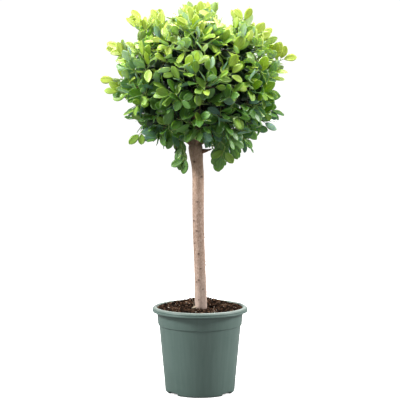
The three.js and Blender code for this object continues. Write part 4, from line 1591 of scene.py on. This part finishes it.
def leaf_kind(spot, back, spray, draw):
    """The kind of a leaf, which sets its colour: paler at the top, the tips and the sides of the
    crown and darker below, painted light and shade mixed with its age along the twig, and near
    black deep inside as painted shade.
    """
    high = (spot.z - CROWN_CENTRE.z) / CROWN["half_height"]
    out = crown_reach(spot)
    # Painted shade: leaves deep inside the crown take the near-black shaded kind.
    if out + 0.1 * (draw() - 0.5) < lerp(0.74, 0.64, smoothstep(0, 0.6, high)):
        return SHADED
    aside = math.hypot(spot.x - CROWN_CENTRE.x, 0.5 * spot.y) / CROWN["half_width"]
    # Painted light and shade: leaves high up and far out are paler, those low and further in
    # darker; the way back from the twig's tip is the leaf's own age.
    age_and_light = LEAF_AGE_AND_LIGHT["height"] * high + LEAF_AGE_AND_LIGHT["reach"] * (out - LEAF_AGE_AND_LIGHT["outline"])
    age_and_light -= LEAF_AGE_AND_LIGHT["way_back"] * back
    age_and_light += LEAF_AGE_AND_LIGHT["spray"] * (spray - 0.5) + LEAF_AGE_AND_LIGHT["chance"] * (draw() - 0.5)
    # Painted light: leaves at the left and right sides of the crown, above its lowest part, are
    # made paler.
    age_and_light += LEAF_AGE_AND_LIGHT["sides"] * smoothstep(0.65, 0.95, aside) * smoothstep(-0.6, 0.0, high)
    return next((kind for kind, limit in enumerate(LEAF_AGE_AND_LIGHT["limits"]) if age_and_light > limit), OLD)


def keep_leaf(leaf, kind, planes, leaves):
    """Adds a leaf if there is room for it, and tells whether there was."""
    if not leaf_fits(leaf, planes):
        return False
    leaf["kind"] = kind
    leaves.append(leaf)
    all_leaves.add(leaf["middle"], leaf)
    return True


def grow_end_leaf(twig, planes, draw, leaves):
    """The leaf at the end of a twig, which reaches to the tip of an outstanding shoot."""
    twig["turn"], twig["spray"] = draw() * 2 * math.pi, draw()
    spot, heading, _ = leaf_sites(twig["spots"])[0]
    tip = twig["tip"]
    twig["facing"] = bool(tip) and tuple(tip) in open_tips
    if crown_reach(spot) < LEAF["shade"]:
        return
    kind = leaf_kind(spot, 0, twig["spray"], draw)
    along = (tip - spot).normalized() if tip else heading
    size = (tip - spot).length / LEAF["length"] if tip else lerp(0.62, 0.85, draw())
    for _ in range(LEAF["attempts"] if tip else 3):
        if keep_leaf(place_leaf(spot, along, size, draw, twig["facing"]), kind, planes, leaves):
            return


def grow_side_leaves(twig, planes, draw, leaves):
    """The leaves along a twig, from its end back to where it is too dark for them."""
    turn, facing = twig["turn"], twig["facing"]
    for spot, heading, back in leaf_sites(twig["spots"])[1:]:
        reach = crown_reach(spot)
        if reach < LEAF["shade"]:
            break
        kind = leaf_kind(spot, back, twig["spray"], draw)
        if draw() < LEAF["airy_share"] and reach > LEAF["airy_reach"] and not twig["tip"]:
            continue
        size = lerp(0.78, 1.0, smoothstep(0, 30, back)) * lerp(0.86, 1.14, draw())
        size *= LEAF["shaded_size"] if kind == SHADED else 1
        for _ in range(LEAF["attempts"]):
            turn += math.pi if facing else 137.5 * DEG
            leaf = side_leaf(spot, heading, turn, size, draw, facing)
            # A leaf of the painted-shade kind that reaches out to where it shows takes the old
            # colour.
            lit = kind == SHADED and crown_reach(leaf["rim"][3]) > LEAF["lit_reach"]
            if keep_leaf(leaf, OLD if lit else kind, planes, leaves):
                break


def leaf_places(piece, heap):
    """Writes each leaf's own places, and a map where each kind of finish has its own column."""
    blade = piece.data.uv_layers.new(name="blade")
    blade.uv.foreach_set("vector", [c for place in heap.places for c in place])
    blade.active_render = True
    columns = len(LEAF_FINISHES)
    spread = []
    corner = 0
    for face, kind in zip(heap.faces, heap.kinds):
        for _ in face:
            across, along = heap.places[corner]
            spread.extend(((kind + 0.08 + 0.84 * across) / columns, 0.02 + 0.96 * along))
            corner += 1
    piece.data.uv_layers.new(name="OFBake").uv.foreach_set("vector", spread)


def extended(twig):
    """An outstanding shoot grows on until only its last leaf is left to reach its tip."""
    if twig["tip"]:
        last = twig["spots"][-1]
        reach = (twig["tip"] - last).length
        further = max(0, reach - 0.85 * LEAF["length"])
        twig["spots"].append(last.lerp(twig["tip"], further / reach))


grown = []
for index, mass in enumerate(masses):
    draw = random_stream(100 + index)
    planes = cell_planes(mass)
    twigs = grow_twigs(mass, planes, draw)
    for twig in twigs:
        extended(twig)
        row = twig["spots"]
        for a, b in zip(row, row[1:]):
            all_twigs.add(a.lerp(b, 0.5), (a, b))
    grown.append((mass, planes, twigs, draw))

# The shoots that make the outline get their leaves first, and the others fill in between.
leaves_of = {mass["name"]: [] for mass in masses}
for stands_out in (True, False):
    for grow in (grow_end_leaf, grow_side_leaves):
        for mass, planes, twigs, draw in grown:
            for twig in twigs:
                if bool(twig["tip"]) == stands_out:
                    grow(twig, planes, draw, leaves_of[mass["name"]])

LEAF_SLOTS = {
    "top": "leaves_young",
    "upper": "leaves_young",
    "middle": "leaves_mature",
    "lower": "leaves_shaded",
}
for mass, planes, twigs, draw in grown:
    wood, green = Heap(), Heap()
    for twig in twigs:
        add_twig(wood, twig)
    for leaf in leaves_of[mass["name"]]:
        add_leaf(green, leaf, draw)
        spot, base = leaf["spot"], leaf["base"]
        stalk = [spot, spot.lerp(base, 0.5), base + leaf["along"] * 3]
        wood.add_rod(stalk, lambda share, _: lerp(0.95, 0.6, share), 4, GREEN)
    slot = LEAF_SLOTS[mass["ring"]["name"] if mass["ring"] else "top"]
    leaves = green.piece(f"leaves_{mass['name']}", LEAF_FINISHES)
    leaf_places(leaves, green)
    on_plant(leaves, slot, f"foliage_{mass['name']}")
    on_plant(wood.piece(f"twigs_{mass['name']}", TWIG_FINISHES), slot)

# ----------------------------------------------------------------------- floor and daylight
# A plain pale studio floor and a white sky, with four round soft boxes: the strongest stands high
# on the left, and the others light the top, the right-hand side and the back.

FLOOR = {"radius": 9000, "level": -0.2, "white": (0.93, 0.93, 0.93), "bounce": (0.26, 0.26, 0.26)}
SKY = {"seen": 1.05, "light": 0.10}
# Each soft box: where it stands, the height it is aimed at, its width and its power.
SOFT_BOXES = {
    "key_light": ((-3.0, -1.1, 2.9), 0.5, 1.1, 215),
    "top_light": ((0.1, -0.2, 3.7), 0.8, 1.4, 145),
    "right_light": ((3.1, -0.3, 2.2), 0.6, 1.1, 140),
    "back_light": ((0.3, 2.6, 2.8), 0.9, 1.2, 85),
}
CAMERA = {"distance": 3.374, "height": 0.782, "tilt": 0.071, "lens": 108.4}


def floor_finish():
    """A pale matt floor that throws little light back up into the shade under the crown, and
    turns to white as it leaves the pot."""
    finish, tree, shader = new_finish("studio_floor", 0.9, 0.1)
    mottle = mottled(tree, FLOOR["white"], tuple(c * 0.985 for c in FLOOR["white"]), 3.0, 0.5)
    seen = add_node(tree, "ShaderNodeLightPath", {}, "Is Camera Ray")
    colour = mixed_colour(tree, seen, FLOOR["bounce"], mottle["Colour"])
    feed(tree, shader.inputs["Base Color"], colour)
    place = own_place(tree)
    away = add_node(tree, "ShaderNodeVectorMath", {0: place}, "Value", operation="LENGTH")
    glow = maths(tree, "MULTIPLY", seen, band(tree, away, -0.3, 0.3))
    feed(tree, shader.inputs["Emission Color"], mixed_colour(tree, glow, (0, 0, 0), (1, 1, 1)))
    shader.inputs["Emission Strength"].default_value = 1.0
    return finish


disc = ring_points(FLOOR["radius"], FLOOR["level"], 96)
floor = new_piece("studio_floor", disc, [tuple(range(len(disc)))], [floor_finish()])
floor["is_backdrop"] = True

world = bpy.data.worlds.new("studio")
bpy.context.scene.world = world
world.use_nodes = True
sky = world.node_tree.nodes["Background"].inputs
sky["Color"].default_value = (1.0, 1.0, 1.0, 1)
path = world.node_tree.nodes.new("ShaderNodeLightPath").outputs
seen = maths(world.node_tree, "MAXIMUM", path["Is Camera Ray"], path["Is Glossy Ray"])
strength = maths(world.node_tree, "MULTIPLY_ADD", seen, SKY["seen"] - SKY["light"], SKY["light"])
feed(world.node_tree, sky["Strength"], strength)


def soft_box(name, place, aim, size, power):
    """A round lamp that shines on a point of the plant's axis."""
    light = bpy.data.lights.new(name, "AREA")
    light.shape = "DISK"
    light.size = size
    light.energy = power
    lamp = bpy.data.objects.new(name, light)
    lamp.location = place
    way = Vector((0, 0, aim)) - Vector(place)
    lamp.rotation_euler = way.to_track_quat("-Z", "Y").to_euler()
    bpy.context.scene.collection.objects.link(lamp)


for name, sizes in SOFT_BOXES.items():
    soft_box(name, *sizes)

camera_data = bpy.data.cameras.new("camera")
camera_data.lens = CAMERA["lens"]
camera_data.clip_end = 60
camera = bpy.data.objects.new("camera", camera_data)
camera.location = (0, -CAMERA["distance"], CAMERA["height"])
camera.rotation_euler = (math.pi / 2 - CAMERA["tilt"], 0, 0)
bpy.context.scene.collection.objects.link(camera)
bpy.context.scene.camera = camera
bpy.context.scene.view_settings.view_transform = "Standard"

boxes = {"cad": cad_box, "visual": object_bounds()}
{name: [list(corner) for corner in box] for name, box in boxes.items()}
